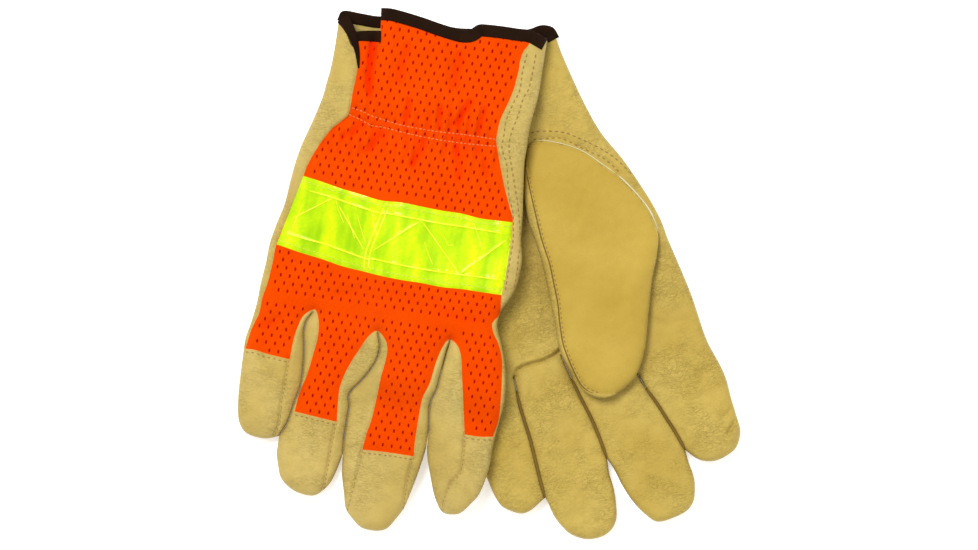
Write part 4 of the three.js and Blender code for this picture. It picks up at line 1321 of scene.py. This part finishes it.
def elastic(name, layout, line, height, side, body, node):
    """The gathered elastic sewn inside a wrist, as a ruffled band."""
    middle = curve(line, 1.0)
    run = np.arange(len(middle)) * 1.0
    V, F, U = [], [], []
    across = np.linspace(-5, 5, 9)
    for k, s in enumerate(across):
        P = middle + [0, s]
        wave = 0.35 * np.sin(run / 2.6 * math.tau / 2 + 0.5 * np.sin(run / 9)) * (1 - 0.5 * abs(s) / 5)
        z = height(P) - side * (2.2 + wave)
        V += list(layout.world(P, z))
        U += list(np.column_stack([run / 100, np.full(len(P), s / 100)]))
    n = len(middle)
    for k in range(len(across) - 1):
        for i in range(n - 1):
            F.append((k * n + i, k * n + i + 1, (k + 1) * n + i + 1, (k + 1) * n + i))
    piece = mesh_object(name, V, F, U, ELASTIC)
    thick = piece.modifiers.new("thickness", "SOLIDIFY")
    thick.thickness, thick.offset = 0.9 * MM, 0
    bpy.context.view_layer.update()
    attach(piece, body)
    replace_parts(piece, node)


elastic("right_elastic", R, [(-36, -49.5), (-20, -50), (0, -50.5), (28, -50)],
        right_top, 1, R_HAND, "right_wrist_elastic")
elastic("left_elastic", L, [(-42, -42), (-20, -43), (10, -43), (33, -42)],
        left_low, -1, L_HAND, "left_wrist_elastic")


# ---------------------------------------------------------------- beads: raised lines, cut edges, and lines of painted highlight and painted shade
def bead(name, layout, lines, material, body):
    """Half-round ridges along lines of (points, height function, half width, rise), with thin ends."""
    V, F, U = [], [], []
    for points, height, half, rise in lines:
        line = curve(points, 0.9)
        t = np.gradient(line, axis=0)
        t /= np.linalg.norm(t, axis=1)[:, None] + 1e-9
        side = np.column_stack([-t[:, 1], t[:, 0]])
        share = np.linspace(0, 1, len(line))
        fat = 0.15 + 0.85 * smooth(np.minimum(share, 1 - share) * 9)
        first, n = len(V), len(line)
        angles = np.linspace(0, math.pi, 7)
        for a in angles:
            P = line + side * (half * math.cos(a) * fat)[:, None]
            V += list(layout.world(P, height(line) - 0.12 + rise * math.sin(a) * fat))
            U += list(np.column_stack([share * n * 0.009, np.full(n, a * 0.004)]))
        m = len(angles)
        for i in range(n - 1):
            for k in range(m):
                a, b = first + k * n + i, first + (k + 1) % m * n + i
                F.append((a, b, b + 1, a + 1))
        F.append(tuple(first + k * n + n - 1 for k in range(m)))
        F.append(tuple(first + k * n for k in range(m - 1, -1, -1)))
    piece = mesh_object(name, V, F, U, material)
    bpy.context.view_layer.update()
    if body:
        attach(piece, body)
    return piece


# Pale streaks across the tape: painted reflections, drawn as low beads.
R_TAPE_GLINTS = [
    [(-42.5, -89.7), (-40.4, -94.9), (-35.9, -102.6)],
    [(-35.8, -96.1), (-32.6, -103.0), (-29.2, -109.5)],
    [(-30.8, -95.3), (-27.4, -103.1), (-23.6, -110.5)],
    [(-24.8, -90.4), (-21.9, -97.7), (-18.8, -105.6)],
    [(4.9, -103.8), (8.1, -110.2), (12.1, -117.0)],
    [(14.7, -99.9), (17.6, -104.7), (21.2, -104.1)],
    [(28.1, -90.5), (32.1, -97.7), (36.0, -106.0)],
    [(-58.3, -94.0), (-60.0, -99.8), (-62.3, -109.4)],
]


def between(P):
    return np.full(len(P), MIDDLE + 4.9)


# Dark lines along the gaps between the left fingers, at a fixed height: painted shade where the fingers meet.
gap_shades = [([(x, y) for x, y in line[1:]], between, 0.75, 0.5)
         for line in (L_CREASE_RL, L_CREASE_MR, L_CREASE_IM)]
# The tape's ridges in pale lime: raised a little, and lighter as painted highlight.
ribs = [(line, right_top, 0.42, 0.34) for line in
        (R_TAPE_BORDER_TOP, R_TAPE_BORDER_LOW, R_TAPE_CREASE, shifted(curve(R_TAPE_CREASE), 2.2))]
ribs += [(line, right_top, 0.24, 0.16) for line in R_TAPE_GLINTS]
ribs += [(line, right_top, 0.32, 0.28) for line in
         (R_TAPE_DIAG0, R_TAPE_DIAG1, R_TAPE_DIAG2, R_TAPE_DIAG3, R_TAPE_DIAG4)]
bead("right_band_welds", R, ribs, RIDGE_HIGHLIGHT, R_HAND)
pale = curve(L_THUMB[:9])
bead("left_wing_cut_edge", L,
     [(shifted(pale, 0.5)[2:-30], left_top, 0.28, 0.4), (shifted(pale, 0.5)[-32:], left_top, 0.5, 0.6)],
     EDGE, L_HAND)
# A dark line beside the thumb's stitches: painted shade in the seam's groove.
piece = bead("left_thumb_seam", L, [(shifted(L_THUMB_SEAM, 0.7)[4:-6], thumb_top, 0.42, 0.3)],
             SHADE, None)
pieces[piece.name] = (piece, L_HAND, "left_thumb", L, *THUMB_ROOT)
for finger, gap_shade in zip(("ring", "middle", "index"), gap_shades):
    piece = bead(f"left_{finger}_seam", L, [gap_shade], SHADE, None)
    pieces[piece.name] = (piece, L_HAND, f"left_{finger}_finger", L, *SPANS[finger])


# ---------------------------------------------------------------- pieces set in place, floor, light, camera
for piece, hand, finger, layout, start, end in pieces.values():
    layout.point(0, start, 0)
    layout.point(0, end, 0)
    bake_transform(piece)
STITCHED = STITCHES.finish()
for (body, tag), piece in STITCHED.items():
    if body in BENDS:
        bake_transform(piece)
    else:
        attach(piece, body)


def floor():
    mesh = bpy.data.meshes.new("floor")
    s = 3.0
    mesh.from_pydata([(-s, -s, 0), (s, -s, 0), (s, s, 0), (-s, s, 0)], [], [(0, 1, 2, 3)])
    n = Nodes("paper_floor")
    n.put(Base_Color=(0.93, 0.93, 0.93, 1), Roughness=0.9,
          Emission_Color=(1, 1, 1, 1), Emission_Strength=FLOOR_GLOW,
          Normal=n.bump(n.noise(40, 3), 0.1, 0.2))
    mesh.uv_layers.new(name="Layout")
    mesh.materials.append(n.material)
    piece = bpy.data.objects.new("floor", mesh)
    bpy.context.scene.collection.objects.link(piece)


def lamp(name, place, size, power, target=(0, 0, 0)):
    data = bpy.data.lights.new(name, "AREA")
    data.shape, data.size, data.energy = "DISK", size, power
    piece = bpy.data.objects.new(name, data)
    piece.location = place
    piece.rotation_euler = (Vector(target) - Vector(place)).to_track_quat("-Z", "Y").to_euler()
    bpy.context.scene.collection.objects.link(piece)


floor()
lamp("key_light", (-0.55, 0.75, 2.1), 0.9, KEY_POWER)
lamp("fill_light", (1.2, -0.6, 1.6), 1.6, FILL_POWER)
world = bpy.data.worlds.new("studio")
world.use_nodes = True
world.node_tree.nodes["Background"].inputs["Color"].default_value = (1, 1, 1, 1)
world.node_tree.nodes["Background"].inputs["Strength"].default_value = SKY
bpy.context.scene.world = world
bpy.context.scene.view_settings.view_transform = "Standard"

camera = bpy.data.objects.new("camera", bpy.data.cameras.new("camera"))
camera.data.lens, camera.data.sensor_width = LENS, 36
camera.location = (CAMERA[0] * MM, CAMERA[1] * MM, CAMERA_HEIGHT)
bpy.context.scene.collection.objects.link(camera)
bpy.context.scene.camera = camera
